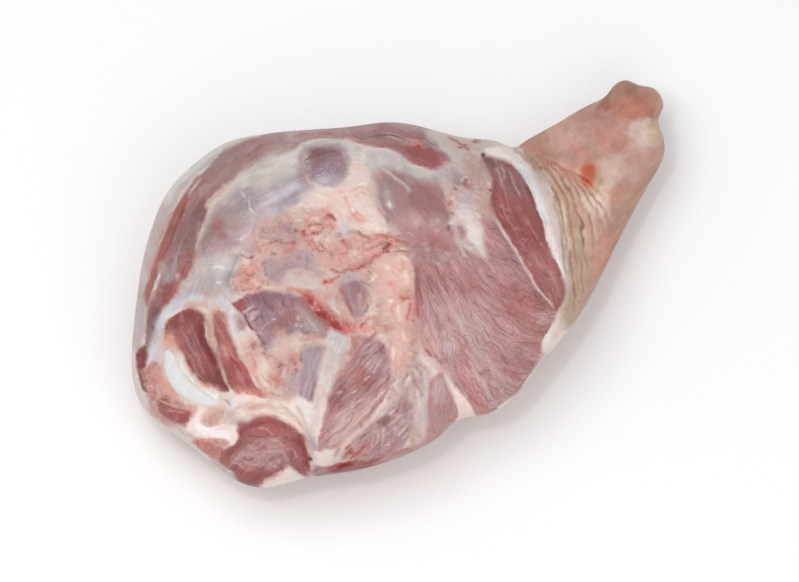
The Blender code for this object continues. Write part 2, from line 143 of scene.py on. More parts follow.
# Folds of loose skin that fan out from the collar: path, depth in metres
FOLDS = [
    ([(519, 149), (538, 165), (553, 190), (562, 222), (568, 256), (572, 288)], 0.0022),
    ([(523, 148), (545, 166), (561, 191), (571, 222), (576, 258), (577, 300)], 0.0016),
    ([(530, 150), (552, 167), (569, 192), (580, 222), (585, 254), (584, 286)], 0.0020),
    ([(537, 153), (559, 169), (576, 192), (588, 218), (594, 246), (593, 272)], 0.0015),
    ([(544, 156), (566, 172), (584, 193), (597, 215), (603, 238)], 0.0019),
    ([(552, 160), (573, 176), (592, 195), (606, 213), (612, 230)], 0.0014),
    ([(560, 164), (581, 179), (600, 193), (614, 205)], 0.0016),
    ([(566, 167), (585, 180), (603, 190), (622, 197)], 0.0010),
    ([(575, 198), (582, 228), (585, 262)], 0.0011),
    ([(584, 205), (593, 230), (597, 256)], 0.0010),
    ([(594, 205), (603, 224), (607, 243)], 0.0012),
    ([(557, 200), (564, 226), (568, 252)], 0.0012),
    ([(566, 232), (571, 262), (573, 298), (571, 326)], 0.0013),
    ([(587, 191), (600, 205), (609, 221)], 0.0009),
    ([(578, 250), (581, 280), (578, 312)], 0.0008),
    ([(526, 158), (540, 172), (552, 196), (558, 216)], 0.0010),
]
FOLD_HALF_WIDTH = 0.0013
FOLD_FADES = (0.22, 0.42)
FOLD_SHARE = 0.8
FOLD_SAMPLES = 8

# How seams and folds wander: sizes and reaches in plan units
WOBBLES = ((12, 2.2), (4, 0.8))
WOBBLE_SEED = 41

# How dark the painted shade in the folds' creases is and how pale the painted light on the ridges beside
# them, sizes in plan units
SHADE_REACH = 12
SHADE_FULL_DEPTH = 0.0018
SHADE_COLOUR = (-34, -40, -42)
SHADE_NOISE = (10, 45)
CREASE_WIDTH = 1.1
RIDGE_SHARE, RIDGE_PLACE, RIDGE_WIDTH = 0.35, 2.6, 1.5

# Slow unevenness of the flesh and of the rind
LUMP_SIZE = 0.055
FACE_LUMPS = 0.0020
RIND_LUMPS = 0.0026
LUMP_SEED = 7
LUMP_CELLS = 32

# The blade bone's end: the line along its middle, its half width and half height in metres
BONE_LINE = [(170, 348), (173, 366), (181, 381), (193, 392), (208, 399), (228, 403)]
BONE_HALF_WIDTH = 0.0072
BONE_HALF_HEIGHT = 0.0020
BONE_SUNK = 0.0005
BONE_TIP_SUNK = 0.8
BONE_THICKEST = 0.43
BONE_THINNEST = 0.03
BONE_AROUND = 28
BONE_SLOPE_REACH = 5
BONE_WARM, BONE_WHITE = (216, 200, 189), (216, 214, 215)
BONE_WHITE_START, BONE_WHITE_CHANGE = 0.40, 0.55

# Density of the mesh: sections along the joint, and points on the face and behind it in each
RINGS = 520
PIECE_RINGS = (210, 420)
PIECE_NAMES = ("flesh_blade_half", "flesh_shank_half", "shank_skin", "rind_underside")
FACE_POINTS = 384
BACK_POINTS = 60
RIM_TURN = 0.10
SHANK_DENSITY = 0.62
DENSE_END = 0.76
SECTION_SAMPLES = 1400
TRIAL_STATIONS = 801
TRIAL_POINTS = 12
CENTRING_RINGS = 90

Fan = namedtuple("Fan", "centre bend middle")
Flow = namedtuple("Flow", "guide shorten lines network specks")

# How the fibres of each muscle run: a path they follow or a point they fan out from, how short
# they look where they are cut across, and how strong their dark lines, pale crinkles and specks are
FLOWS = {
    "edge": Flow([
        (146, 380), (150, 340), (165, 290), (190, 225), (215, 185), (255, 152), (300, 138), (400, 134),
        (460, 160),
    ], 1.4, 0.35, 0.30, 0.5),
    "middle": Flow([(256, 266), (280, 244), (306, 232), (330, 240)], 1.2, 0.0, 0.35, 0.1),
    "silver": Flow([(200, 262), (235, 212), (275, 190), (350, 168), (440, 186)], 1.0, 0.10, 0.15, 0.1),
    "head": Flow([(296, 168), (345, 150)], 1.0, 0.6, 0.1, 0.2),
    "inner_arm": Flow([(372, 160), (395, 205), (425, 250)], 1.6, 0.06, 0.12, 0.3),
    "arm": Flow(Fan((393, 218), 0.08, 142), 1.0, 1.0, 1.0, 0.12),
    "wedge": Flow([(490, 150), (520, 215), (568, 315)], 3.2, 0.3, 0.9, 1.0),
    "lower_middle": Flow([(305, 468), (350, 412), (400, 350)], 1.0, 0.9, 0.8, 0.4),
    "bottom": Flow([(335, 468), (376, 436), (414, 392)], 1.0, 1.0, 0.8, 0.6),
    "purple": Flow([(235, 285), (290, 365)], 2.2, 0.3, 0.6, 0.6),
    "striped": Flow([(326, 335), (306, 405)], 1.0, 0.5, 0.4, 0.3),
    "blade": Flow([(176, 300), (205, 355), (234, 400)], 3.2, 0.15, 0.7, 1.0),
    "neck": Flow([(228, 470), (258, 442), (300, 438), (314, 476)], 2.6, 0.5, 1.0, 1.0),
    "small": Flow([(346, 276), (358, 322)], 1.0, 0.4, 0.3, 0.3),
    "edge_end": Flow([(436, 362), (441, 432)], 1.2, 0.4, 0.5, 0.4),
    "fat": Flow([(405, 230), (398, 320), (402, 380)], 1.6, 0.0, 0.0, 0.0),
    "skin": Flow([(520, 150), (560, 200), (590, 310)], 1.0, 0.0, 0.0, 0.0),
    "rind": Flow(Fan((1500, -600), 0.0, 0), 1.0, 0.0, 0.0, 0.0),
}

Paint = namedtuple("Paint", "kind colour width blur rise flow points steady")


def patch(kind, colour, blur, points, rise=0.0, flow=None, steady=False):
    """A filled patch. Colour in 0 to 255 as seen, blur in plan units, rise in millimetres."""
    return Paint(kind, colour, None, blur, rise, flow, points, steady)


def line(kind, colour, width, points, blur=1.6, rise=0.0, flow=None, steady=False):
    """A line of the given full width in plan units, or several such lines."""
    return Paint(kind, colour, width, blur, rise, flow, points, steady)


PAINT = {
    # The fat under the face, which the muscles lie on
    "fascia": patch("fat", (205, 190, 184), 4, [
        (133, 120), (560, 120), (575, 420), (240, 492), (133, 440)]),
    # The rind's cut edge along the left
    "rind_left": patch("fat", (183, 168, 163), 3, [
        (262, 128), (240, 143), (222, 157), (205, 167), (190, 183), (180, 197), (171, 212), (163, 235),
        (156, 255), (151, 275), (148, 295), (147, 315), (147, 332), (143, 345), (139, 358), (141, 368),
        (147, 384), (152, 398), (161, 411), (172, 422), (186, 431), (200, 439), (207, 448), (220, 460),
        (240, 480), (238, 492), (120, 440), (120, 260), (180, 150)]),
    "rind_top": patch("fat", (206, 199, 192), 5, [
        (255, 134), (236, 142), (220, 152), (204, 163), (190, 178), (178, 190), (168, 205), (160, 200),
        (175, 175), (200, 155), (230, 140)]),
    "rind_low": patch("fat", (214, 196, 188), 6, [
        (134, 350), (141, 368), (147, 390), (158, 412), (176, 428), (200, 441), (214, 460), (180, 446),
        (145, 415), (134, 385)]),
    # The long muscle along the upper edge
    "edge_muscle": patch("muscle", (157, 120, 119), 2, [
        (153, 355), (148, 330), (152, 308), (157, 290), (163, 270), (168, 252), (176, 228), (186, 205),
        (192, 192), (200, 180), (208, 168), (220, 155), (233, 146), (250, 139), (268, 133), (300, 126),
        (350, 118), (400, 115), (428, 124), (436, 138), (448, 150), (456, 160), (446, 170), (428, 168),
        (415, 165), (404, 157), (394, 152), (385, 149), (372, 147), (358, 144), (346, 140), (335, 138),
        (318, 139), (306, 142), (298, 147), (288, 151), (278, 153), (266, 158), (254, 164), (244, 171),
        (235, 179), (225, 187), (215, 194), (211, 202), (209, 212), (204, 224), (200, 235), (197, 246),
        (194, 258), (194, 266), (190, 276), (181, 284), (174, 293), (167, 303), (162, 310), (160, 320),
        (157, 333), (155, 345)], 0.6, "edge"),
    "edge_muscle_low": patch("muscle", (144, 98, 97), 9, [
        (164, 300), (168, 270), (178, 240), (190, 215), (202, 200), (208, 208), (198, 236), (190, 256),
        (178, 276), (168, 296)], 0.0, "edge"),
    "edge_muscle_grey": patch("muscle", (166, 146, 147), 7, [
        (165, 285), (172, 262), (180, 248), (184, 256), (180, 272), (172, 286)], 0.0, "edge"),
    "edge_muscle_mid": patch("muscle", (160, 124, 121), 8, [
        (205, 200), (215, 178), (235, 160), (262, 148), (290, 140), (292, 148), (262, 158), (238, 172),
        (218, 190)], 0.0, "edge"),
    "edge_muscle_pale": patch("muscle", (172, 150, 144), 5, [
        (244, 168), (262, 156), (284, 145), (290, 148), (270, 158), (250, 168)], 0.0, "edge"),
    "edge_muscle_top": patch("muscle", (171, 140, 137), 6, [
        (285, 128), (320, 128), (345, 128), (345, 137), (315, 137), (290, 143)], 0.0, "edge"),
    "edge_top_red_line": line("muscle", (178, 116, 106), 3, [
        (292, 138), (315, 134), (340, 134)], 2.5, 0.0, "edge"),
    "edge_muscle_right": patch("muscle", (156, 111, 111), 5, [
        (345, 128), (370, 123), (395, 120), (418, 127), (430, 140), (418, 142), (395, 136), (370, 136),
        (352, 138)], 0.5, "edge"),
    "edge_muscle_right_low": patch("muscle", (162, 110, 109), 4, [
        (352, 141), (372, 138), (396, 139), (412, 144), (430, 148), (445, 156), (448, 166), (430, 168),
        (412, 164), (396, 153), (374, 147)], 0.4, "edge"),
    "edge_dark_red": patch("muscle", (146, 82, 80), 6, [
        (404, 147), (414, 146), (428, 150), (438, 160), (436, 168), (424, 167), (414, 160)], 0.0, "edge"),
    "edge_dark_seam": line("muscle", (120, 78, 76), 1.4, [
        (350, 139), (362, 138), (376, 136), (388, 136), (400, 138), (411, 142)], 1.8, -0.4),
    "edge_orange": line("blood", (184, 108, 95), 1.8, [
        [(413, 145), (418, 143), (423, 145)], [(420, 147), (423, 150)],
        [(426, 147), (422, 154), (420, 158)]], 2.0),
    "edge_orange_core": line("blood", (148, 66, 56), 1.4, [
        [(415, 146), (418, 147), (421, 150)], [(421, 153), (420, 158)]], 1.6, -0.2),
    # The thin dark strip and the groove between the rind and the long muscle
    "red_strip": patch("muscle", (154, 92, 88), 3, [
        (190, 190), (189, 200), (184, 213), (179, 225), (173, 239), (166, 255), (161, 270), (156, 284),
        (152, 298), (149, 306), (146, 298), (149, 280), (155, 262), (161, 245), (167, 229), (173, 214),
        (181, 201)], 0.3, "edge", True),
    "red_strip_tip": line("muscle", (160, 116, 114), 3.0, [
        (186, 196), (193, 186), (201, 175)], 2.4, 0.1, "edge", True),
    "red_strip_core": line("muscle", (130, 68, 66), 2.4, [
        (187, 203), (181, 218), (173, 238), (165, 258), (159, 276)], 3.6, -0.2, "edge", True),
    "red_strip_side": line("fat", (186, 142, 136), 2.0, [
        (176, 206), (167, 224), (159, 244), (152, 268), (148, 288)], 3.4),
    "fat_streak": line("fat", (194, 170, 164), 2.0, [
        (190, 196), (196, 187), (203, 178)], 2.6, 0.1, None, True),
    "fat_streak_low": line("fat", (184, 150, 143), 1.2, [
        (151, 322), (153, 306), (158, 289), (164, 270)], 2.0, 0.1, None, True),
    "groove": patch("muscle", (136, 94, 92), 3, [
        (151, 304), (158, 298), (163, 304), (161, 316), (158, 328), (155, 340), (152, 350), (151, 362),
        (151, 376), (149, 391), (145, 388), (141, 374), (138, 362), (140, 350), (147, 344),
        (149, 326)], -0.4, "edge"),
    "groove_side": line("muscle", (98, 68, 76), 2.6, [
        (161, 305), (158, 318), (156, 330), (154, 342)], 2.4, -0.4),
    "groove_red": patch("muscle", (122, 64, 62), 4, [
        (139, 352), (147, 347), (150, 354), (148, 368), (146, 376), (141, 368)], 0.0, "edge"),
    "blood_upper": patch("blood", (152, 84, 80), 8, [
        (183, 262), (188, 252), (196, 258), (195, 268), (190, 278), (182, 276)]),
    "blood_upper_dark": line("blood", (120, 66, 62), 1.8, [(180, 256), (180, 266), (178, 276)], 2),
    "blood_lower": patch("blood", (148, 82, 78), 8, [
        (161, 288), (168, 284), (178, 282), (178, 294), (170, 302), (162, 304)]),
    "peach_fleck": line("fat", (204, 150, 142), 2.4, [(177, 280), (180, 277), (182, 274)], 2, 0.1),
    "white_fleck": patch("muscle", (170, 144, 139), 5, [
        (163, 264), (167, 270), (168, 279), (164, 279), (161, 272)], 0.2),
    # Fascia between the long muscle and the silverskin
    "fascia_band": patch("silver", (204, 194, 187), 4, [
        (198, 250), (203, 234), (211, 214), (216, 199), (228, 188), (240, 178), (256, 166), (280, 156),
        (300, 148), (318, 141), (336, 140), (356, 147), (378, 150), (396, 156), (410, 166), (428, 172),
        (444, 176), (446, 186), (420, 186), (398, 176), (380, 168), (360, 168), (345, 186), (330, 192),
        (310, 185), (300, 172), (270, 178), (240, 192), (222, 208), (210, 228),
        (203, 250)], 0.2, "silver"),
    "fascia_cream": patch("fat", (214, 198, 184), 4, [
        (214, 200), (230, 189), (242, 181), (236, 190), (222, 200), (212, 214)]),
    "fascia_pink": line("fat", (204, 170, 160), 3.5, [(209, 212), (212, 200), (222, 191), (230, 186)], 3),
    "fascia_top": patch("silver", (198, 193, 188), 6, [
        (304, 146), (322, 141), (342, 142), (350, 150), (330, 148), (310, 152)]),
    # The ridge of silverskin
    "silverskin": patch("silver", (181, 163, 168), 4, [
        (202, 252), (207, 232), (214, 214), (226, 200), (240, 190), (256, 181), (272, 175), (288, 168),
        (298, 164), (306, 172), (314, 184), (310, 195), (300, 202), (290, 208), (278, 214), (266, 222),
        (258, 232), (258, 250), (254, 259), (246, 254), (240, 246), (228, 249), (216, 255),
        (204, 259)], 0.8, "silver"),
    "silver_grey": patch("silver", (168, 150, 152), 10, [
        (222, 210), (236, 194), (252, 186), (262, 190), (262, 210), (248, 222),
        (232, 216)], 0.0, "silver"),
    "silver_cream": patch("silver", (194, 184, 176), 9, [
        (250, 184), (270, 174), (292, 166), (298, 172), (280, 184), (262, 192)], 0.0, "silver"),
    "silver_brown": patch("muscle", (158, 120, 117), 13, [
        (200, 250), (207, 228), (218, 210), (232, 216), (240, 232), (232, 246),
        (214, 254)], 0.0, "silver"),
    "silver_mauve": patch("silver", (170, 138, 144), 9, [
        (208, 254), (216, 240), (236, 228), (250, 234), (244, 246), (226, 250)], 0.0, "silver"),
    "silver_right": patch("silver", (168, 150, 160), 9, [
        (262, 210), (274, 196), (292, 184), (306, 178), (308, 192), (292, 204),
        (272, 214)], 0.0, "silver"),
    "silver_flap": patch("silver", (192, 164, 162), 5, [
        (240, 240), (250, 228), (258, 236), (258, 250), (254, 258), (247, 254)], 0.5, "silver"),
    "silver_red_spots": patch("muscle", (152, 98, 95), 5, [
        (221, 232), (226, 233), (230, 239), (225, 240)]),
    "silver_red_edge": patch("muscle", (160, 104, 100), 5, [
        (214, 230), (220, 220), (224, 224), (220, 236)]),
    # Painted highlights: whitish streaks standing in for light on the silverskin's ridge
    "silver_painted_highlight_a": line("silver", (206, 200, 210), 5, [
        (268, 205), (280, 197), (292, 189), (302, 182)], 7, 0.2, "silver"),
    "silver_painted_highlight_b": line("silver", (200, 193, 202), 3, [
        (262, 208), (272, 202), (280, 199)], 3.5, 0.0, "silver"),
    "silver_vein": line("silver", (212, 206, 206), 1.4, [
        (240, 191), (247, 199), (251, 210), (256, 220)], 1.4, 0.3),
    "silver_vein_b": line("silver", (206, 198, 200), 1.2, [
        (256, 218), (252, 228), (246, 236), (238, 242)], 1.4, 0.2),
    # The dark muscle head above the fat, seen through its skin
    "head_rim": patch("silver", (178, 160, 160), 9, [
        (301, 158), (305, 148), (325, 143), (342, 146), (349, 158), (347, 174), (338, 184), (322, 186),
        (308, 176)], 0.1, "head"),
    "head": patch("muscle", (136, 96, 98), 10, [
        (300, 159), (309, 151), (328, 148), (342, 151), (346, 162), (344, 173), (335, 181), (323, 185),
        (312, 179), (303, 169)], 0.1, "head"),
    "head_left": patch("silver", (174, 150, 152), 9, [
        (300, 156), (306, 150), (311, 158), (314, 170), (312, 178), (304, 170)], 0.0, "head"),
    "head_blue": patch("silver", (148, 124, 135), 10, [
        (314, 172), (326, 164), (342, 162), (344, 172), (336, 182), (322, 184)], 0.0, "head"),
    "head_line_a": line("muscle", (126, 84, 86), 1.8, [
        (304, 163), (315, 157), (327, 153), (338, 152)], 1.8, -0.2),
    "head_line_b": line("muscle", (130, 92, 94), 1.4, [(306, 168), (316, 161), (328, 157)], 1.6, -0.2),
    # Painted highlight on the lower side of the muscle head
    "head_painted_highlight": patch("silver", (178, 164, 174), 7, [
        (316, 178), (326, 176), (334, 180), (328, 186), (318, 184)]),
    "strings": line("fat", (212, 194, 184), 1.6, [
        (306, 172), (313, 184), (322, 193), (334, 202), (343, 212)], 1.6, 0.5),
    "strings_b": line("fat", (214, 200, 192), 1.3, [
        (312, 182), (322, 188), (334, 190), (346, 188)], 1.5, 0.4),
    "strings_c": line("fat", (216, 204, 196), 1.2, [(318, 190), (328, 200), (336, 212)], 1.5, 0.3),
    # The small muscles behind the joint
    "inner_fascia": patch("silver", (186, 174, 170), 5, [
        (366, 152), (384, 152), (400, 158), (414, 168), (432, 173), (446, 178), (444, 190), (424, 188),
        (404, 180), (388, 176), (376, 180), (368, 168)], 0.3, "inner_arm"),
    "inner_muscle": patch("muscle", (157, 119, 118), 9, [
        (374, 176), (384, 168), (398, 171), (410, 176), (422, 183), (434, 185), (443, 191), (448, 204),
        (451, 217), (443, 226), (430, 232), (410, 234), (396, 228), (386, 222), (380, 214),
        (374, 198)], 0.0, "inner_arm"),
    "inner_muscle_dark": patch("muscle", (147, 106, 106), 10, [
        (410, 186), (422, 183), (434, 187), (443, 196), (447, 210), (446, 218), (430, 221), (414, 216),
        (404, 204)], 0.0, "inner_arm"),
    "inner_muscle_left": patch("muscle", (162, 128, 129), 9, [
        (374, 190), (384, 184), (394, 196), (394, 214), (384, 220), (377, 206)], 0.0, "inner_arm"),
    "inner_streak": line("silver", (188, 172, 168), 2.0, [
        [(367, 178), (373, 188), (380, 200)], [(385, 190), (389, 200), (391, 212)],
        [(374, 196), (381, 208), (386, 218)]], 4, 0.2),
    "inner_streak_b": line("silver", (186, 172, 168), 2.4, [
        (380, 166), (392, 176), (404, 186), (410, 196)], 4, 0.1),
    # Painted glint: a small pale dot standing in for a highlight
    "inner_painted_glint": patch("silver", (222, 212, 206), 2.4, [
        (387, 205), (389, 203), (391, 205), (389, 208)], 0.3, None, True),
    "inner_white": patch("silver", (190, 172, 167), 8, [
        (385, 226), (392, 225), (399, 229), (396, 235), (387, 233)], 0.2),
    # Cream fat round the joint
    "cream_fat": patch("fat", (220, 199, 189), 7, [
        (262, 222), (280, 214), (300, 204), (314, 192), (330, 190), (346, 186), (350, 170), (364, 164),
        (372, 180), (374, 196), (380, 212), (388, 226), (384, 238), (366, 240), (350, 236), (330, 232),
        (300, 226), (280, 228), (264, 234)], 0.8, "fat"),
    "cream_fat_pink": line("fat", (208, 158, 150), 2.2, [
        [(350, 205), (354, 213), (361, 219), (370, 223)], [(346, 196), (348, 204)],
        [(356, 208), (360, 214), (367, 218)]], 3.0, -0.2),
    "cream_fat_ring": line("fat", (204, 172, 164), 1.8, [
        [(350, 196), (354, 190), (362, 187), (370, 192), (373, 202)],
        [(355, 198), (362, 193), (368, 198)], [(348, 214), (354, 222), (362, 227)]], 2.6, -0.2),
    "cream_fat_light": line("fat", (228, 210, 200), 2.4, [
        [(356, 186), (363, 182), (368, 186)], [(352, 206), (357, 215), (366, 222)],
        [(340, 208), (346, 216)]], 2.8, 0.3),
    "cream_fat_low": patch("fat", (218, 192, 182), 9, [
        (342, 236), (356, 226), (376, 230), (388, 240), (380, 250), (356, 250)], 0.4),
    "upper_pink": patch("torn", (218, 188, 180), 8, [
        (262, 232), (284, 220), (306, 216), (312, 226), (290, 238), (266, 244)]),
    # Torn fatty tissue in the middle
    "middle_fat": patch("torn", (209, 172, 162), 6, [
        (262, 226), (290, 220), (320, 212), (345, 232), (380, 238), (398, 244), (414, 250), (417, 270),
        (417, 300), (416, 330), (412, 352), (404, 376), (398, 392), (392, 396), (389, 380), (386, 352),
        (383, 332), (372, 328), (356, 322), (342, 323), (330, 313), (318, 301), (300, 291), (282, 289),
        (262, 291), (246, 294), (236, 287), (232, 278), (238, 266), (244, 256), (256, 259),
        (260, 250)], 0.5, "fat"),
    "middle_lilac": patch("silver", (184, 168, 172), 9, [
        (256, 208), (272, 205), (288, 210), (286, 219), (270, 222), (256, 224)]),
    "middle_cream_top": patch("torn", (214, 188, 178), 9, [
        (280, 218), (298, 209), (318, 206), (328, 210), (312, 216), (302, 222), (288, 226)], 0.3),
    "middle_brown": patch("torn", (186, 150, 144), 12, [
        (258, 228), (274, 222), (292, 222), (302, 230), (300, 240), (288, 246), (274, 243),
        (262, 242)], 0.0, "middle"),
    "middle_brown_dark": patch("muscle", (166, 134, 132), 8, [
        (282, 226), (292, 226), (300, 232), (298, 240), (288, 238)], 0.0, "middle"),
    "middle_pinkish": patch("torn", (214, 170, 161), 9, [
        (256, 238), (265, 242), (270, 252), (266, 260), (258, 256)], 0.1),
    "middle_peach": patch("torn", (219, 168, 154), 6, [
        (270, 250), (277, 250), (281, 257), (277, 262), (271, 259)], 0.2),
    "middle_mauve_band": patch("muscle", (176, 146, 147), 10, [
        (264, 262), (278, 256), (296, 250), (312, 250), (322, 258), (322, 270), (306, 272), (290, 272),
        (284, 284), (272, 282), (264, 274)], 0.1, "middle"),
    "middle_rose": line("muscle", (174, 122, 126), 6, [
        [(281, 250), (288, 247), (296, 244)], [(296, 259), (304, 258)]], 7, 0.0, "middle"),
    "middle_grey": patch("fat", (200, 182, 173), 10, [
        (286, 272), (304, 275), (322, 273), (336, 279), (332, 290), (312, 292), (292, 289)], 0.3),
    "middle_grey_mauve": line("muscle", (172, 148, 148), 2.4, [
        [(308, 268), (318, 272), (328, 275)], [(314, 276), (324, 279)],
        [(300, 264), (310, 266), (322, 264)], [(270, 268), (274, 276), (280, 282)],
        [(284, 262), (288, 272)], [(264, 266), (272, 264), (280, 266)],
        [(306, 252), (314, 256), (320, 264)]], 3.4),
    "middle_beige": patch("torn", (210, 186, 175), 7, [
        (321, 230), (330, 228), (336, 234), (334, 243), (326, 244), (320, 238)], 0.2),
    "salmon": patch("torn", (218, 166, 153), 10, [
        (318, 248), (330, 250), (346, 250), (352, 258), (343, 267), (330, 264), (318, 257)], 0.3),
    "salmon_core": patch("torn", (218, 154, 141), 8, [
        (334, 254), (342, 251), (346, 258), (340, 265), (333, 262)], 0.1),
    "pale_cloud": patch("torn", (220, 196, 190), 7, [
        (348, 251), (357, 248), (364, 252), (359, 259), (350, 259)], 0.3),
    "rose_cloud": patch("torn", (214, 164, 155), 10, [
        (348, 238), (362, 236), (378, 238), (386, 246), (378, 256), (364, 257), (352, 248)], 0.2),
    "peach_right": patch("torn", (206, 150, 136), 9, [
        (374, 235), (386, 232), (396, 236), (404, 242), (396, 248), (382, 246)], 0.1),
    "beige_low": patch("torn", (204, 176, 163), 9, [
        (366, 268), (380, 268), (385, 282), (380, 296), (371, 288), (364, 276)], 0.2),
    "right_corner": patch("torn", (190, 150, 142), 7, [
        (396, 238), (406, 236), (416, 242), (416, 252), (406, 254), (398, 250)], 0.0, "middle"),
    # The peach lobe next to the gristle and the pale ridge that runs on from it
    "peach_lobe": patch("torn", (211, 170, 160), 4, [
        (232, 280), (235, 272), (240, 266), (245, 268), (247, 258), (252, 258), (258, 258), (262, 264),
        (264, 275), (270, 282), (279, 286), (266, 289), (250, 293), (240, 291), (235, 286)], 1.1),
    "peach_salmon": patch("torn", (218, 162, 150), 7, [
        (248, 263), (256, 261), (260, 268), (256, 272), (248, 271)], 0.2),
    "peach_warm": patch("torn", (210, 156, 141), 7, [
        (238, 274), (246, 272), (252, 278), (248, 285), (240, 284)]),
    "peach_cream": line("fat", (222, 192, 178), 4, [
        (253, 282), (262, 285), (272, 289), (284, 292)], 4, 0.3),
    "peach_light": patch("fat", (214, 192, 178), 4, [
        (246, 258), (250, 257), (251, 263), (248, 266), (245, 263)], 0.2),
    "peach_threads": line("blood", (188, 128, 116), 1.6, [
        [(236, 276), (242, 274), (247, 270)], [(240, 283), (247, 281), (253, 278)],
        [(244, 288), (252, 287)], [(250, 264), (256, 266)]], 2.2, -0.2),
    "arc_fat": line("fat", (210, 176, 165), 5, [
        (268, 288), (284, 290), (302, 292), (318, 300), (332, 312)], 5, 0.7),
    # The column of soft fat
    "column_fat": patch("fat", (207, 168, 158), 9, [
        (380, 258), (394, 250), (408, 252), (415, 262), (414, 290), (414, 320), (408, 346), (402, 368),
        (394, 376), (390, 350), (388, 325), (378, 312), (372, 292), (374, 272)], 1.0, "fat"),
    "column_fat_top": patch("fat", (214, 178, 167), 14, [
        (384, 262), (398, 254), (411, 256), (414, 272), (412, 288), (398, 286), (386, 276)], 0.4),
    "column_fat_left": patch("torn", (212, 180, 168), 10, [
        (364, 306), (380, 298), (390, 312), (388, 330), (374, 326), (360, 320)], 0.4),
    "column_mauve": line("muscle", (178, 142, 140), 3.4, [(414, 256), (416, 276), (415, 300)], 4),
    "column_orange": patch("torn", (206, 148, 124), 6, [
        (399, 291), (407, 289), (410, 294), (407, 299), (400, 298)]),
    "column_rose": line("blood", (202, 148, 138), 2.0, [
        [(396, 300), (393, 310), (394, 320)], [(385, 316), (386, 332)], [(391, 322), (391, 331)],
        [(403, 350), (404, 368)], [(395, 352), (397, 374)], [(412, 332), (414, 347)],
        [(388, 280), (392, 286), (394, 292)], [(372, 300), (384, 302)],
        [(380, 288), (388, 296), (398, 295)], [(399, 306), (400, 318)], [(404, 262), (403, 274)],
        [(392, 264), (396, 274), (395, 284)]], 2.8),
    "column_pink": line("blood", (206, 140, 130), 4, [
        [(390, 280), (392, 287)], [(386, 322), (388, 334)]], 4.5, 0.0, None, True),
    "column_pale": line("fat", (228, 208, 194), 2.6, [
        [(399, 304), (400, 322)], [(403, 330), (405, 342)], [(392, 345), (393, 362)],
        [(386, 265), (392, 270)], [(390, 302), (394, 298)], [(372, 282), (378, 276)],
        [(370, 316), (378, 310)], [(406, 351), (411, 356)], [(396, 260), (404, 258), (410, 262)],
        [(405, 270), (408, 282)]], 3.0, 0.4),
    # Blood in the torn fat: soft pink first, then red, then the dark threads
    "middle_pink": line("blood", (213, 146, 136), 5, [
        [(307, 236), (312, 242), (318, 249), (326, 251)],
        [(306, 224), (312, 217), (324, 212), (332, 213)], [(326, 226), (333, 224)],
        [(250, 273), (256, 275)], [(345, 240), (350, 246)], [(384, 257), (374, 259), (366, 261)],
        [(391, 240), (396, 246)], [(338, 258), (346, 252)], [(353, 213), (357, 218), (366, 223)],
        [(258, 248), (262, 254)], [(413, 298), (413, 318)],
        [(308, 228), (314, 228), (320, 227)]], 5, 0.0, None, True),
    "middle_red": line("blood", (186, 88, 78), 4.6, [
        [(320, 224), (325, 219), (330, 217), (334, 219)], [(303, 229), (305, 234), (308, 238)],
        [(359, 266), (363, 264), (368, 261)],
        [(384, 254), (387, 248), (390, 243)]], 3.4, 0.0, None, True),
    "middle_rust": line("blood", (196, 112, 92), 2.6, [
        [(303, 230), (309, 226), (315, 224), (320, 224)], [(384, 252), (391, 252)],
        [(390, 243), (398, 241), (407, 242), (411, 245)], [(376, 236), (384, 236), (390, 240)],
        [(400, 298), (408, 298)]], 2.8, 0.0, None, True),
    "middle_threads": line("blood", (158, 98, 88), 1.6, [
        [(330, 268), (338, 272), (346, 272)], [(356, 232), (364, 236), (372, 240)],
        [(268, 246), (276, 242), (286, 244), (294, 241)],
        [(310, 238), (315, 244), (319, 250), (326, 252)], [(308, 228), (313, 225), (319, 225)],
        [(310, 233), (315, 234), (320, 233), (323, 229), (324, 224)],
        [(398, 250), (404, 251), (410, 251)], [(366, 250), (372, 249), (378, 246), (384, 245)],
        [(395, 243), (401, 241), (406, 243), (411, 244)], [(402, 299), (408, 298), (411, 301)],
        [(246, 275), (252, 276), (257, 272)], [(271, 257), (274, 254), (277, 256)],
        [(240, 254), (245, 257), (251, 258), (257, 255)]], 1.8, -0.3, None, True),
    # Painted shade: thin dark lines in the creases of the torn fat
    "middle_crease_painted_shade": line("blood", (154, 120, 112), 1.4, [
        [(261, 281), (267, 281), (271, 283), (274, 288)], [(240, 267), (244, 268), (246, 262)],
        [(231, 282), (234, 273), (239, 266)], [(232, 283), (236, 288), (241, 293)],
        [(283, 226), (287, 224), (293, 226), (298, 230), (301, 235)],
        [(286, 231), (291, 233), (296, 237), (299, 242)], [(262, 230), (270, 232), (278, 230)],
        [(266, 238), (274, 240), (284, 239)], [(366, 269), (371, 274), (376, 277)],
        [(352, 233), (360, 234), (368, 237)], [(340, 232), (343, 237)],
        [(406, 256), (409, 253), (411, 250)], [(296, 229), (297, 234)],
        [(268, 264), (266, 268), (268, 277)], [(287, 262), (288, 270)],
        [(383, 341), (387, 350), (385, 360), (386, 368), (390, 375)],
        [(337, 314), (337, 304), (338, 294)], [(366, 312), (369, 304), (372, 297)],
        [(290, 255), (296, 252), (304, 252)]], 2.0, -0.3),
    "middle_dark_red": line("blood", (132, 46, 40), 2.0, [
        [(326, 215), (331, 216), (334, 219), (337, 223)], [(319, 224), (322, 225)],
        [(311, 233), (316, 234), (320, 233)], [(304, 230), (306, 236)], [(342, 241), (346, 241)],
        [(389, 243), (386, 249), (383, 255)], [(384, 252), (390, 252)], [(362, 265), (364, 265)],
        [(296, 241), (293, 246)], [(251, 257), (254, 258)], [(388, 243), (391, 246)],
        [(295, 229), (298, 233)]], 1.8, -0.4, None, True),
    "middle_pale": line("fat", (219, 192, 182), 1.8, [
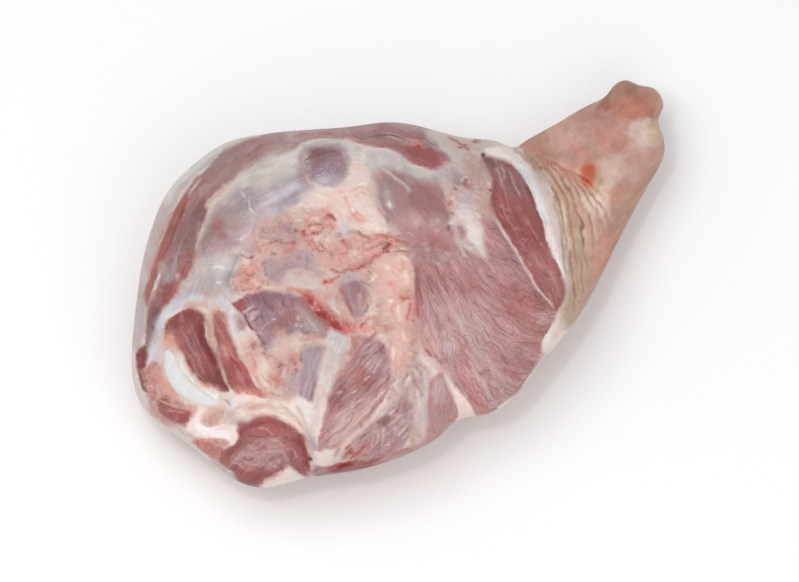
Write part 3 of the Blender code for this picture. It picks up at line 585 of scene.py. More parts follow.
        [(233, 278), (232, 281), (235, 284)], [(246, 256), (245, 260), (247, 265)],
        [(240, 290), (247, 292), (252, 290)], [(308, 222), (313, 218), (320, 219)],
        [(316, 237), (320, 241)], [(338, 219), (341, 223)], [(399, 247), (405, 248), (409, 248)],
        [(326, 238), (332, 242)], [(342, 214), (348, 218), (352, 224)], [(310, 229), (317, 228)],
        [(366, 254), (372, 252)], [(352, 254), (358, 252)], [(256, 232), (258, 244)]], 3.0, 0.3),
    "blue_tendon": patch("silver", (196, 188, 192), 6, [
        (340, 227), (346, 224), (351, 228), (349, 233), (343, 234)], 0.4),
    "blue_tendon_side": line("muscle", (160, 136, 134), 1.6, [
        [(340, 232), (341, 238)], [(346, 232), (356, 233)]], 2.2, -0.2),
    "red_side": line("blood", (168, 84, 72), 1.6, [
        [(409, 302), (410, 309), (408, 316), (407, 322)],
        [(412, 320), (412, 322)]], 1.8, -0.3, None, True),
    # The three-sided mauve muscle under the fat
    "small_muscle": patch("muscle", (172, 136, 138), 10, [
        (340, 284), (346, 276), (357, 277), (368, 281), (371, 291), (367, 302), (362, 313), (354, 319),
        (348, 310), (342, 298)], 0.2, "small"),
    "small_muscle_top": patch("silver", (184, 168, 166), 6, [
        (342, 274), (352, 272), (360, 276), (352, 282), (344, 282)], 0.1, "small"),
    "small_muscle_red": line("muscle", (160, 104, 100), 4, [
        (340, 285), (345, 295), (349, 306), (353, 316)], 4.5, 0.0, "small"),
    "small_muscle_deep": patch("muscle", (154, 116, 124), 6, [
        (350, 282), (358, 282), (359, 296), (354, 304), (348, 294)], 0.0, "small"),
    "small_muscle_lines": line("muscle", (150, 112, 116), 1.6, [
        [(357, 280), (358, 292)], [(368, 302), (365, 310), (359, 317)], [(363, 290), (363, 302)],
        [(351, 284), (353, 298)]], 2.6, -0.2),
    "small_muscle_pink": line("torn", (198, 158, 152), 2.4, [
        [(362, 282), (368, 290), (370, 300)], [(346, 280), (352, 278), (360, 280)],
        [(360, 296), (360, 308)]], 3.6),
    "small_muscle_side": line("fat", (208, 192, 184), 2.6, [
        [(366, 318), (372, 306), (376, 294)], [(334, 296), (336, 308), (339, 316)]], 3.5, 0.2),
    # The long thread of blood across the torn fat, and the small ones beside it
    "main_thread_soft": line("blood", (202, 130, 120), 6, [
        (348, 272), (354, 268), (362, 265), (372, 259), (380, 256)], 5.5, 0.0, None, True),
    "main_thread": line("blood", (180, 94, 86), 1.9, [
        [(322, 286), (326, 282), (331, 283), (337, 278), (342, 275)],
        [(343, 275), (348, 270), (354, 271), (359, 266), (366, 264)],
        [(365, 262), (371, 262), (375, 257), (380, 256), (384, 250), (387, 244)],
        [(329, 281), (335, 279)], [(356, 270), (363, 267), (367, 261)]], 3.2, 0.0, None, True),
    "main_thread_core": line("blood", (142, 50, 46), 1.6, [
        [(325, 284), (328, 282)], [(335, 278), (339, 277)], [(355, 270), (359, 267), (364, 263)],
        [(371, 261), (374, 258)], [(383, 251), (386, 246)]], 1.8, -0.2),
    "torn_threads": line("blood", (176, 98, 90), 1.3, [
        [(303, 232), (307, 240), (313, 248), (318, 254)],
        [(319, 240), (324, 248), (331, 254), (333, 262)], [(344, 240), (348, 248), (345, 256)],
        [(372, 236), (382, 234), (392, 238), (402, 235), (412, 238)],
        [(376, 247), (384, 243), (392, 241)], [(392, 252), (402, 251), (410, 250)],
        [(284, 254), (290, 251), (298, 246)]], 2.4, -0.2, None, True),
    # The glossy gristle and the ring of it round the blade
    "gristle": patch("silver", (188, 176, 172), 5, [
        (186, 292), (193, 278), (201, 264), (212, 258), (228, 254), (240, 254), (243, 264), (236, 272),
        (232, 282), (237, 291), (232, 300), (220, 304), (206, 301), (192, 302), (182, 303)], 1.2),
    "gristle_grey": patch("silver", (180, 170, 168), 10, [
        (200, 288), (206, 272), (216, 264), (230, 262), (232, 276), (222, 290), (208, 298)]),
    "gristle_pink": patch("silver", (194, 172, 168), 7, [
        (196, 300), (206, 290), (222, 288), (236, 292), (228, 302), (210, 304)]),
    # Painted glints: two small pale curves standing in for highlights on the gristle
    "gristle_painted_glint": line("silver", (220, 216, 214), 1.4, [
        (214, 270), (217, 267), (222, 267), (225, 270)], 2.6, 0.2, None, True),
    "gristle_painted_glint_b": line("silver", (222, 218, 216), 1.6, [
        (217, 284), (220, 282), (223, 284)], 2.4, 0.2, None, True),
    "gristle_mauve": patch("silver", (176, 158, 166), 5, [
        (188, 296), (190, 288), (196, 290), (196, 298)]),
    "ring": line("silver", (190, 184, 188), 11, [
        (152, 366), (155, 350), (159, 336), (163, 324), (170, 312), (180, 303), (196, 298),
        (212, 297)], 3.5, 0.8),
    "ring_white": line("silver", (206, 198, 197), 10, [(150, 372), (155, 356), (160, 340)], 5, 0.3),
    "ring_right": line("silver", (198, 188, 188), 11, [
        (216, 298), (226, 303), (232, 315), (238, 328), (246, 342)], 3.5, 0.8),
    "ring_right_low": line("fat", (220, 192, 180), 12, [
        (242, 336), (250, 352), (260, 372), (272, 392)], 5, 0.6),
    "ring_tan": line("fat", (204, 158, 144), 4, [
        [(184, 306), (198, 304), (212, 305)], [(214, 306), (220, 310)]], 4),
    # Muscles on the blade
    "blade_muscle": patch("muscle", (134, 68, 65), 3, [
        (171, 342), (166, 334), (169, 322), (175, 317), (184, 312), (192, 309), (202, 312), (207, 319),
        (206, 330), (209, 339), (213, 349), (218, 359), (221, 370), (225, 380), (231, 391), (226, 392),
        (216, 388), (204, 383), (193, 375), (187, 365), (182, 352), (178, 345)], 1.2, "blade"),
    "blade_muscle_pale": patch("muscle", (148, 88, 88), 12, [
        (182, 330), (194, 326), (202, 342), (208, 360), (206, 372), (194, 360),
        (186, 346)], 0.0, "blade"),
    "blade_muscle_dark": line("muscle", (128, 56, 56), 5, [
        (202, 320), (204, 336), (211, 350), (218, 366), (223, 380), (229, 390)], 6, -0.2, "blade"),
    "blade_muscle_top": line("muscle", (146, 72, 70), 3.5, [
        (174, 322), (182, 314), (192, 311), (200, 315)], 3.5, -0.2),
    "blade_muscle_foot": line("muscle", (150, 78, 78), 5, [(196, 376), (208, 384), (220, 390)], 5),
    "blade_tan": patch("fat", (198, 152, 134), 9, [
        (165, 337), (172, 333), (179, 338), (182, 346), (174, 348), (166, 346)]),
    "blade_tan_b": line("fat", (196, 148, 132), 5, [
        (180, 350), (187, 366), (198, 379), (212, 388), (224, 394)], 5.5),
    "blade_fat_strip": line("fat", (204, 166, 152), 5.5, [
        (207, 313), (210, 326), (213, 338), (217, 348)], 4, 0.6),
    "second_strip": patch("muscle", (164, 90, 86), 3.5, [
        (216, 312), (222, 311), (228, 322), (233, 335), (238, 350), (243, 360), (250, 374), (257, 386),
        (266, 392), (256, 396), (243, 394), (233, 388), (227, 375), (222, 360), (218, 345),
        (215, 330)], 1.0, "blade"),
    "second_strip_top": patch("muscle", (176, 106, 100), 8, [
        (216, 313), (222, 312), (227, 324), (224, 334), (217, 328)]),
    "blade_pale_threads": line("fat", (170, 108, 104), 1.0, [
        [(180, 326), (186, 336), (190, 346)], [(190, 320), (196, 332), (200, 344)],
        [(186, 350), (193, 362), (202, 372)], [(196, 352), (204, 364), (210, 374)],
        [(222, 326), (226, 338), (230, 346)], [(232, 352), (238, 364), (244, 374)],
        [(240, 372), (248, 382), (256, 388)], [(178, 336), (184, 348)]], 2.4, 0.1),
    "blade_dark_threads": line("muscle", (134, 66, 64), 1.4, [
        [(184, 322), (190, 334), (195, 346)], [(194, 330), (199, 344), (206, 358)],
        [(198, 366), (206, 376), (214, 384)], [(226, 340), (231, 354), (236, 366)],
        [(236, 360), (244, 374), (252, 386)], [(220, 320), (224, 330)]], 2.2, -0.1, "blade"),
    "second_strip_marble": patch("fat", (188, 136, 128), 7, [
        (221, 346), (228, 344), (232, 352), (230, 362), (224, 358)], 0.2),
    "second_strip_dark": patch("muscle", (160, 76, 78), 6, [
        (232, 360), (242, 362), (252, 380), (246, 388), (236, 380)], 0.0, "blade"),
    "second_strip_foot": patch("muscle", (192, 122, 112), 5, [
        (236, 388), (250, 388), (268, 390), (264, 398), (246, 398)]),
    # Tan and pink tissue round the bone
    "bone_zone": patch("torn", (193, 137, 131), 6, [
        (149, 364), (158, 361), (164, 372), (172, 388), (184, 400), (198, 406), (202, 416), (192, 426),
        (178, 424), (166, 418), (156, 406), (150, 394)], 0.4),
    "bone_zone_pink": patch("torn", (191, 120, 116), 6, [
        (150, 372), (158, 374), (166, 392), (180, 404), (194, 410), (180, 412), (162, 402), (152, 390)]),
    "bone_zone_pale": patch("fat", (200, 148, 139), 5, [
        (156, 366), (163, 366), (170, 382), (180, 394), (172, 396), (160, 384)]),
    "bone_zone_red": patch("muscle", (164, 88, 86), 5, [
        (160, 402), (166, 396), (176, 404), (190, 408), (196, 414), (188, 422), (176, 422),
        (164, 414)], 0.5, "neck"),
    "bone_zone_marble": line("fat", (204, 152, 144), 1.4, [
        [(162, 398), (170, 403), (180, 404)], [(168, 408), (178, 410), (188, 411)],
        [(186, 405), (196, 408)]], 2.2, 0.2),
    "bone_halo": line("silver", (212, 180, 160), 23, [
        (173, 350), (177, 366), (185, 380), (197, 391), (211, 399), (232, 403)], 8),
    "bone_glow": line("silver", (217, 218, 222), 17, [
        (174, 352), (177, 367), (185, 380), (197, 391), (211, 398), (226, 401)], 6.5, -0.8),
    "bone_lump": patch("silver", (212, 212, 214), 5, [
        (231, 401), (238, 399), (244, 402), (242, 408), (235, 409), (230, 406)], 0.5, None, True),
    "bone_lump_edge": line("fat", (168, 138, 122), 1.6, [
        (225, 398), (230, 401), (232, 405)], 2.6, -0.1, None, True),
    "orange_patch": patch("muscle", (198, 156, 144), 12, [
        (207, 409), (216, 405), (226, 408), (227, 416), (219, 423), (208, 423), (202, 417)], 0.5),
    # White fat low on the left, and the pale sheet towards the tendon
    "low_white": patch("fat", (230, 212, 206), 4, [
        (196, 412), (202, 406), (208, 407), (204, 415), (208, 424), (226, 422), (240, 428), (242, 438),
        (234, 446), (220, 442), (202, 434), (188, 428)], 0.8),
    "low_white_b": patch("fat", (236, 226, 222), 5, [
        (198, 424), (214, 426), (232, 432), (234, 438), (218, 436), (200, 430)], 0.4),
    "low_tan": patch("muscle", (190, 126, 116), 6, [
        (195, 440), (206, 437), (220, 444), (230, 451), (226, 461), (214, 458), (204, 451)], 0.6, "neck"),
    "low_tan_b": patch("muscle", (206, 150, 142), 5, [
        (200, 438), (212, 440), (228, 446), (232, 442), (216, 436)]),
    "pale_sheet": patch("fat", (226, 208, 200), 4, [
        (236, 398), (258, 396), (284, 398), (298, 394), (308, 402), (318, 402), (328, 380), (330, 400),
        (322, 432), (318, 458), (315, 474), (310, 470), (308, 445), (300, 431), (288, 421), (270, 416),
        (250, 415), (240, 416)], 0.4),
    "pale_sheet_cream": patch("fat", (226, 212, 200), 7, [
        (262, 402), (290, 402), (302, 412), (304, 426), (290, 416), (268, 412)]),
    "pale_sheet_grey": patch("fat", (216, 206, 202), 6, [
        (300, 400), (316, 404), (322, 424), (316, 440), (308, 424)]),
    "sheet_orange": patch("fat", (216, 182, 168), 8, [(250, 400), (258, 400), (258, 410), (250, 410)]),
    "sheet_line": line("fat", (188, 152, 144), 1.4, [
        (298, 400), (303, 412), (308, 424), (313, 438)], 1.6, -0.4),
    "sheet_line_b": line("fat", (200, 172, 166), 1.2, [(284, 404), (296, 414), (306, 430)], 1.6, -0.3),
    # The pink zone, the scored purple muscle and the striped one
    "pink_zone": patch("torn", (206, 170, 160), 6, [
        (244, 348), (256, 338), (268, 346), (284, 346), (304, 342), (302, 365), (298, 388), (290, 400),
        (274, 398), (262, 390), (252, 372)], 0.3, "purple"),
    "pink_zone_mauve_lines": line("muscle", (180, 148, 150), 3, [
        [(292, 342), (286, 354), (281, 364)], [(288, 366), (290, 380)],
        [(296, 372), (294, 386)]], 3, -0.1),
    "pink_zone_pale": patch("fat", (214, 192, 180), 6, [
        (258, 356), (266, 356), (272, 372), (272, 386), (264, 384), (258, 370)]),
    "pink_zone_tan": patch("fat", (200, 156, 144), 8, [
        (246, 356), (256, 356), (260, 368), (256, 376), (248, 366)]),
    "pink_zone_red": line("muscle", (150, 88, 92), 3.6, [(279, 368), (282, 365), (284, 362)], 2.6, -0.2),
    "pink_zone_red_low": line("muscle", (152, 106, 96), 2.6, [
        (281, 370), (282, 374), (279, 377)], 2.2, -0.2),
    "pink_zone_red_b": patch("torn", (202, 140, 122), 5, [
        (271, 375), (280, 374), (287, 383), (282, 389), (272, 384)]),
    "pink_zone_red_c": line("blood", (160, 98, 92), 2.4, [
        [(253, 346), (255, 343), (256, 349)], [(262, 352), (268, 354), (271, 357)],
        [(283, 382), (288, 386)]], 2.6, 0.0, None, True),
    "pink_zone_threads": line("blood", (176, 130, 124), 1.4, [
        [(268, 352), (276, 356), (282, 364)], [(262, 372), (270, 378), (278, 380)],
        [(250, 352), (256, 362), (258, 372)], [(288, 352), (292, 364), (296, 376)],
        [(262, 386), (272, 392), (284, 396)], [(278, 348), (284, 350)]], 2.4, -0.2),
    "pink_zone_red_d": line("muscle", (178, 120, 114), 3.2, [
        [(291, 352), (293, 358), (296, 366)], [(297, 368), (298, 374)]], 3),
    "pink_zone_white": line("fat", (222, 196, 188), 2, [
        [(287, 366), (285, 372), (283, 378)], [(304, 330), (300, 342), (296, 352)],
        [(266, 388), (276, 392), (286, 394)]], 2.2, 0.3),
    "pink_zone_mauve": patch("muscle", (186, 158, 158), 6, [
        (286, 378), (293, 370), (298, 378), (295, 394), (288, 394)]),
    "purple_muscle": patch("muscle", (160, 122, 128), 3.5, [
        (236, 301), (250, 294), (266, 291), (286, 293), (302, 299), (312, 307), (322, 316), (330, 325),
        (331, 334), (318, 340), (302, 341), (290, 345), (280, 348), (270, 349), (264, 342), (256, 333),
        (248, 324), (241, 314)], 1.2, "purple"),
    "purple_muscle_dark": patch("muscle", (146, 106, 112), 9, [
        (252, 296), (270, 294), (280, 300), (274, 308), (260, 308)], 0.0, "purple"),
    "purple_muscle_grey": patch("muscle", (176, 152, 147), 9, [
        (300, 310), (310, 312), (320, 320), (324, 330), (312, 332), (303, 324)], 0.0, "purple"),
    "purple_muscle_red": patch("muscle", (160, 106, 105), 8, [
        (274, 328), (282, 316), (290, 311), (294, 318), (286, 328), (278, 336)], 0.0, "purple"),
    "purple_muscle_pink": patch("muscle", (200, 150, 142), 6, [
        (278, 332), (286, 328), (290, 338), (284, 344), (278, 340)], 0.0, "purple"),
    "purple_muscle_salmon": patch("torn", (202, 156, 145), 8, [
        (303, 336), (312, 334), (322, 336), (320, 341), (310, 342), (303, 341)], 0.1),
    "purple_muscle_beige": patch("fat", (206, 182, 172), 7, [
        (272, 348), (286, 338), (302, 334), (302, 344), (290, 350), (280, 356)], 0.2),
    "purple_corner": patch("muscle", (146, 84, 82), 3.5, [
        (232, 303), (241, 298), (249, 298), (250, 305), (246, 313), (239, 308)], 0.2, "purple"),
    "purple_corner_red": line("muscle", (156, 58, 60), 2.6, [
        (233, 303), (239, 307), (245, 313)], 2, -0.2),
    "purple_corner_rim": line("fat", (214, 192, 188), 1.8, [
        (230, 302), (237, 299), (244, 296), (248, 293)], 1.8, 0.3),
    "purple_corner_b": patch("muscle", (168, 140, 138), 5, [
        (237, 316), (246, 320), (248, 327), (242, 330), (237, 323)]),
    "score_dark": line("muscle", (112, 66, 70), 1.7, [
        [(246, 312), (247, 319), (250, 324), (254, 331)],
        [(257, 333), (262, 339), (267, 345)]], 1.4, -0.6),
    "score_red": line("muscle", (152, 92, 92), 2.8, [
        [(260, 341), (265, 346), (269, 350)], [(254, 344), (254, 351)],
        [(273, 304), (275, 311)]], 2.4, -0.2),
    "score_pale": line("silver", (190, 162, 168), 1.4, [
        [(244, 313), (250, 310), (256, 306)], [(248, 321), (254, 317), (259, 311)],
        [(250, 318), (256, 312)], [(261, 329), (266, 326), (271, 322)], [(258, 333), (266, 331)],
        [(272, 346), (278, 340), (284, 336)]], 1.8, 0.2),
    "score_thin": line("muscle", (130, 92, 102), 1.2, [
        [(250, 313), (255, 310), (261, 308)], [(251, 321), (259, 318), (264, 315)],
        [(257, 298), (262, 304)], [(266, 308), (262, 314), (264, 320)],
        [(262, 334), (266, 328), (271, 324)], [(288, 296), (284, 302), (288, 308)]], 1.2, -0.3),
    # Painted glints: short pale dashes standing in for highlights
    "score_painted_glints": line("silver", (206, 190, 188), 1.4, [
        [(298, 316), (299, 321)], [(296, 323), (298, 327)], [(302, 325), (303, 328)],
        [(273, 320), (277, 317)]], 2.4, 0.2),
    "striped_muscle": patch("muscle", (166, 136, 142), 4, [
        (303, 347), (318, 345), (330, 346), (327, 358), (322, 372), (318, 386), (312, 401), (307, 398),
        (300, 392), (298, 382), (301, 364)], 0.6, "striped"),
    "striped_dark": line("muscle", (148, 116, 124), 2.4, [
        [(318, 380), (314, 391), (311, 400)], [(301, 350), (300, 362)]], 2.6, -0.2),
    "striped_top": line("muscle", (176, 150, 146), 2.4, [(303, 346), (316, 346), (328, 347)], 3, 0.2),
    # Tendon
    # The chunk of neck muscle at the lower left
    "neck_chunk": patch("muscle", (158, 88, 86), 3, [
        (240, 422), (250, 419), (270, 416), (286, 420), (298, 428), (306, 438), (310, 448), (312, 460),
        (310, 473), (303, 478), (297, 471), (290, 467), (283, 471), (275, 477), (266, 482), (255, 485),
        (246, 482), (239, 476), (233, 468), (224, 463), (221, 455), (229, 447), (240, 440),
        (241, 430)], 1.4, "neck"),
    "neck_mauve": patch("muscle", (176, 132, 133), 11, [
        (236, 452), (246, 444), (258, 438), (274, 437), (286, 444), (290, 456), (284, 464), (268, 468),
        (248, 466), (236, 460)], 0.0, "neck"),
    "neck_crest": line("muscle", (166, 94, 91), 9, [
        (250, 426), (268, 424), (286, 430), (298, 442), (304, 460)], 8, 0.3, "neck"),
    "neck_side": line("muscle", (146, 72, 74), 3.4, [
        (240, 426), (243, 438), (236, 448), (228, 454)], 4, -0.3, "neck"),
    "neck_low": patch("muscle", (148, 72, 73), 8, [
        (236, 470), (250, 474), (268, 470), (278, 468), (270, 478), (254, 485), (242, 480)], 0.0, "neck"),
    "neck_pale_threads": line("fat", (196, 150, 148), 1.3, [
        [(240, 448), (246, 452), (252, 450), (258, 455)], [(250, 442), (258, 446), (266, 443)],
        [(262, 452), (268, 448), (276, 451)], [(246, 460), (254, 463), (262, 460)],
        [(268, 459), (274, 464), (282, 460)], [(272, 438), (280, 441), (287, 446)],
        [(232, 458), (240, 462), (246, 467)], [(256, 428), (266, 430), (276, 434)],
        [(288, 436), (296, 446), (300, 456)], [(280, 450), (286, 454), (288, 461)]], 2.0, 0.1),
    "neck_dark_threads": line("muscle", (136, 72, 74), 1.3, [
        [(244, 455), (250, 457), (256, 454)], [(258, 449), (263, 446), (270, 446)],
        [(264, 462), (270, 460), (276, 456)], [(236, 464), (244, 470), (254, 472)],
        [(250, 434), (262, 436), (272, 434)], [(282, 432), (292, 440), (299, 450)],
        [(258, 466), (268, 466)], [(240, 476), (250, 480), (262, 479)],
        [(290, 452), (294, 460), (296, 468)], [(246, 428), (256, 424), (268, 423)]], 2.0, -0.2, "neck"),
    "neck_right": line("muscle", (154, 80, 80), 5, [
        (296, 432), (306, 444), (309, 460), (306, 472)], 5, 0.0, "neck"),
    "neck_fat": patch("fat", (224, 209, 203), 3, [
        (260, 486), (267, 478), (279, 473), (286, 466), (293, 465), (299, 471), (306, 477), (303, 490),
        (268, 500)], 0.8),
    "neck_fat_pink": line("fat", (214, 168, 160), 2.5, [(264, 480), (276, 474), (286, 468)], 3),
    "tendon": line("silver", (199, 183, 178), 13, [
        (338, 336), (333, 351), (328, 366), (324, 382)], 4, 0.8, None, True),
    "tendon_low": line("fat", (210, 195, 189), 9.5, [
        (329, 366), (324, 386), (319, 406), (314, 430), (313, 460)], 3.5, 0.6, None, True),
    "tendon_top": patch("silver", (206, 196, 192), 4, [
        (332, 330), (342, 332), (348, 340), (346, 352), (336, 352), (328, 344)], 0.4),
    "tendon_shade": line("muscle", (182, 170, 172), 3, [(316, 434), (316, 442), (318, 450)], 3, -0.2),
    "tendon_tints": line("fat", (198, 174, 168), 2.2, [
        [(333, 344), (328, 358), (325, 372)], [(320, 392), (316, 410)], [(340, 352), (336, 364)]], 3),
    # Painted shade: a near-black spot in a small dent, standing for the inside of a hole
    "hole_painted_shade": patch("blood", (86, 40, 38), 1.2, [
        (311, 456), (313, 455), (314, 458), (312, 459)], -0.6, None, True),
    # The red band down to the lower muscle
    "red_band": line("blood", (188, 112, 104), 12, [
        (296, 291), (306, 296), (315, 303), (323, 312), (331, 320), (339, 326), (348, 328), (356, 327),
        (362, 327)], 6.5, 0.3, None, True),
    "red_band_grain": line("blood", (166, 64, 58), 7.5, [
        (302, 295), (312, 300), (320, 309), (327, 317), (335, 323), (343, 328), (352, 328)], 5.0, 0.2),
    "red_band_core": line("blood", (150, 52, 48), 4.0, [
        [(310, 299), (316, 304), (322, 311), (328, 317)],
        [(335, 322), (341, 326), (347, 327)]], 4.0, 0.1),
    "red_band_dark": line("blood", (134, 46, 42), 2.0, [
        [(318, 309), (323, 315), (329, 320)], [(331, 323), (336, 327), (341, 331)],
        [(343, 326), (347, 324)]], 2.6, -0.3),
    "red_band_orange": line("blood", (186, 118, 104), 3, [
        [(286, 291), (294, 290), (304, 293)], [(334, 315), (338, 320), (345, 323)]], 4, 0.0, None, True),
    # Painted highlights: tiny pale dashes on the wet red band
    "red_band_painted_highlights": line("blood", (226, 176, 166), 1.0, [
        [(316, 303), (317, 306)], [(319, 309), (321, 311)], [(332, 318), (334, 321)],
        [(313, 307), (315, 309)]], 1.4, 0.3, None, True),
    "red_stem": line("blood", (186, 112, 102), 3.2, [
        (352, 338), (353, 348), (349, 357)], 4, 0.0, None, True),
    "red_stem_b": line("blood", (150, 72, 60), 2.4, [(351, 336), (353, 339), (354, 342)], 2),
    "red_stem_pink": line("blood", (208, 164, 152), 2.6, [
        (349, 357), (345, 363), (340, 370), (336, 380)], 4, 0.0, None, True),
    "red_knot": patch("blood", (188, 84, 78), 4.5, [
        (361, 324), (365, 322), (368, 326), (365, 331), (361, 330)], 0.3, None, True),
    "red_knot_dark": line("blood", (160, 38, 36), 1.8, [(364, 325), (363, 328), (364, 330)], 1.8),
    "red_knot_pink": patch("blood", (203, 152, 141), 12, [
        (352, 322), (368, 318), (380, 324), (376, 334), (362, 336), (352, 332)]),
    "red_right": line("blood", (196, 126, 112), 1.8, [(386, 344), (388, 356), (389, 366)], 2.4, -0.2),
    # The lower middle muscle
    "lower_muscle": patch("muscle", (180, 136, 135), 3, [
        (354, 336), (366, 336), (378, 338), (386, 350), (389, 364), (392, 380), (388, 394), (380, 406),
        (368, 420), (352, 434), (338, 448), (324, 457), (319, 450), (321, 430), (327, 408), (333, 390),
        (339, 376), (346, 364), (352, 352)], 1.4, "lower_middle"),
    "lower_muscle_red": patch("muscle", (170, 110, 109), 9, [
        (338, 380), (352, 372), (368, 366), (378, 370), (370, 384), (356, 396), (342, 406),
        (332, 404)], 0.0, "lower_middle"),
    "lower_muscle_top": patch("muscle", (176, 142, 144), 9, [
        (358, 342), (374, 342), (386, 356), (388, 376), (378, 378), (364, 362)], 0.0, "lower_middle"),
    "lower_muscle_pale": patch("muscle", (192, 155, 150), 9, [
        (330, 430), (344, 412), (366, 400), (380, 396), (366, 416), (348, 434),
        (332, 446)], 0.0, "lower_middle"),
    "lower_muscle_pink": patch("muscle", (190, 136, 132), 5, [
        (356, 336), (362, 344), (358, 354), (352, 352)]),
    "lower_streaks_dark": line("muscle", (156, 106, 105), 2.0, [
        [(334, 396), (344, 390), (354, 382), (364, 374)],
        [(332, 404), (344, 398), (356, 390), (366, 381)], [(330, 413), (340, 406), (350, 399)],
        [(366, 392), (372, 384), (377, 378)], [(345, 378), (356, 370), (364, 366)],
        [(362, 358), (370, 352)], [(371, 338), (376, 332)],
        [(366, 344), (371, 340)]], 2.0, -0.2, "lower_middle"),
    "lower_streaks_pale": line("fat", (208, 176, 170), 1.5, [
        [(334, 394), (339, 391), (344, 389)], [(340, 400), (350, 393), (360, 386)],
        [(366, 380), (373, 375)], [(366, 366), (371, 361)],
        [(332, 420), (344, 412), (356, 402), (368, 394)], [(326, 436), (340, 427), (354, 414)],
        [(374, 372), (380, 364)]], 1.6, 0.2),
    "lower_streaks_brown": line("muscle", (160, 128, 120), 1.4, [
        [(350, 425), (360, 416), (369, 407), (375, 398), (378, 388)],
        [(334, 434), (346, 427), (356, 419)], [(364, 430), (372, 422)]], 1.5, -0.3),
    "lower_fat": line("fat", (221, 192, 182), 5, [
        (395, 382), (389, 397), (381, 411), (366, 425), (350, 438), (338, 449)], 3.5, 0.6),
    "lower_cream": patch("fat", (217, 205, 197), 5, [
        (318, 452), (330, 448), (338, 449), (334, 458), (322, 466), (316, 465)], 0.4),
    "lower_fat_b": line("fat", (220, 186, 176), 2, [
        (388, 386), (374, 402), (356, 420), (338, 440)], 2.4, 0.3),
    # The bottom muscle and the dark rim under it
    "bottom_muscle": patch("muscle", (182, 139, 143), 3, [
        (384, 418), (392, 404), (404, 397), (413, 403), (414, 420), (409, 436), (399, 448), (384, 456),
        (366, 460), (350, 464), (342, 460), (350, 450), (362, 440), (374, 428)], 1.2, "bottom"),
    "bottom_muscle_red": patch("muscle", (178, 122, 118), 8, [
        (344, 458), (354, 446), (366, 436), (376, 432), (374, 446), (362, 456),
        (350, 462)], 0.0, "bottom"),
    "bottom_muscle_mauve": patch("muscle", (178, 130, 132), 9, [
        (376, 440), (386, 424), (400, 410), (408, 414), (402, 434), (390, 450)], 0.0, "bottom"),
    "bottom_dark_line": line("muscle", (110, 72, 71), 1.0, [
        [(364, 436), (371, 430), (377, 426)], [(376, 422), (384, 420)], [(385, 417), (386, 426)],
        [(392, 414), (388, 420)]], 1.8, -0.3, None, True),
    "bottom_white_line": line("fat", (214, 194, 190), 1.1, [
        [(383, 424), (383, 436), (382, 446)], [(388, 426), (396, 418), (402, 412)],
        [(392, 434), (400, 426), (406, 418)], [(374, 434), (372, 446)],
        [(378, 428), (380, 438)]], 1.8, 0.3, None, True),
    "bottom_dark_soft": line("muscle", (168, 128, 126), 2.0, [
        [(370, 430), (378, 424), (386, 418), (396, 411)], [(340, 446), (336, 456)]], 4, -0.1),
    "bottom_red_lines": line("blood", (156, 68, 62), 1.3, [
        [(345, 455), (352, 448), (359, 443), (367, 437)], [(348, 452), (356, 450)],
        [(358, 438), (366, 434), (372, 430)], [(352, 456), (362, 450)],
        [(345, 449), (352, 443), (360, 437)],
        [(350, 457), (359, 450), (368, 443)]], 2.0, -0.3, None, True),
    "bottom_pale_lines": line("fat", (212, 188, 184), 1.5, [
        [(384, 428), (384, 440)], [(378, 432), (377, 444)], [(390, 414), (396, 408)],
        [(392, 430), (402, 420), (410, 410)], [(396, 436), (404, 428), (411, 420)],
        [(388, 438), (389, 446)], [(398, 422), (406, 412)], [(350, 447), (358, 440)],
        [(402, 438), (408, 430)]], 1.6, 0.3),
    "bottom_stripes": line("muscle", (156, 118, 119), 1.4, [
        [(381, 430), (381, 446)], [(375, 430), (374, 446)], [(394, 426), (402, 418), (408, 410)],
        [(396, 432), (406, 422), (412, 414)], [(386, 430), (387, 444)],
        [(400, 404), (404, 396), (409, 391)], [(396, 410), (404, 402)]], 2.4, -0.2),
    "bottom_grey": line("silver", (198, 178, 178), 4, [(352, 448), (364, 438), (378, 428)], 4),
    "rim_muscle": patch("muscle", (152, 84, 82), 2.5, [
        (316, 469), (330, 465), (346, 460), (362, 458), (380, 455), (396, 451), (408, 446), (420, 440),
        (434, 436), (450, 426), (460, 424), (452, 440), (410, 462), (352, 480),
        (314, 486)], 0.6, "bottom"),
    "rim_blood": line("blood", (140, 44, 46), 4.5, [
        (322, 470), (332, 467), (344, 463), (356, 461)], 4, 0.0, None, True),
    "rim_blood_dark": line("blood", (116, 20, 24), 2.6, [
        (336, 466), (342, 464), (348, 462)], 3, -0.2, None, True),
    "rim_grey": patch("muscle", (156, 118, 116), 5, [(315, 466), (326, 466), (332, 474), (318, 480)]),
    "rim_pink": patch("muscle", (180, 128, 124), 6, [
        (380, 458), (404, 450), (428, 438), (440, 436), (410, 458), (384, 468)], 0.0, "bottom"),
    # Fat strands between the bottom muscle and the broad one
    "strand_zone": patch("torn", (200, 174, 167), 7, [
        (392, 380), (404, 366), (414, 350), (428, 360), (440, 366), (440, 380), (430, 400), (426, 420),
        (424, 440), (412, 446), (412, 420), (413, 404), (402, 396), (390, 400)], 0.2, "edge_end"),
    "strand_white": line("silver", (209, 190, 187), 9, [
        (430, 366), (427, 385), (423, 405), (420, 438)], 4.5, 0.8),
    "strand_grey": line("silver", (196, 178, 176), 3, [(424, 378), (420, 396), (417, 418)], 3, -0.2),
    "strand_white_b": line("fat", (224, 204, 198), 5, [
        (416, 352), (424, 362), (434, 370), (440, 380)], 4.5, 0.5),
    "strand_red": line("muscle", (172, 134, 127), 1.4, [
        [(405, 376), (403, 380), (400, 385)], [(396, 376), (393, 380), (391, 385)],
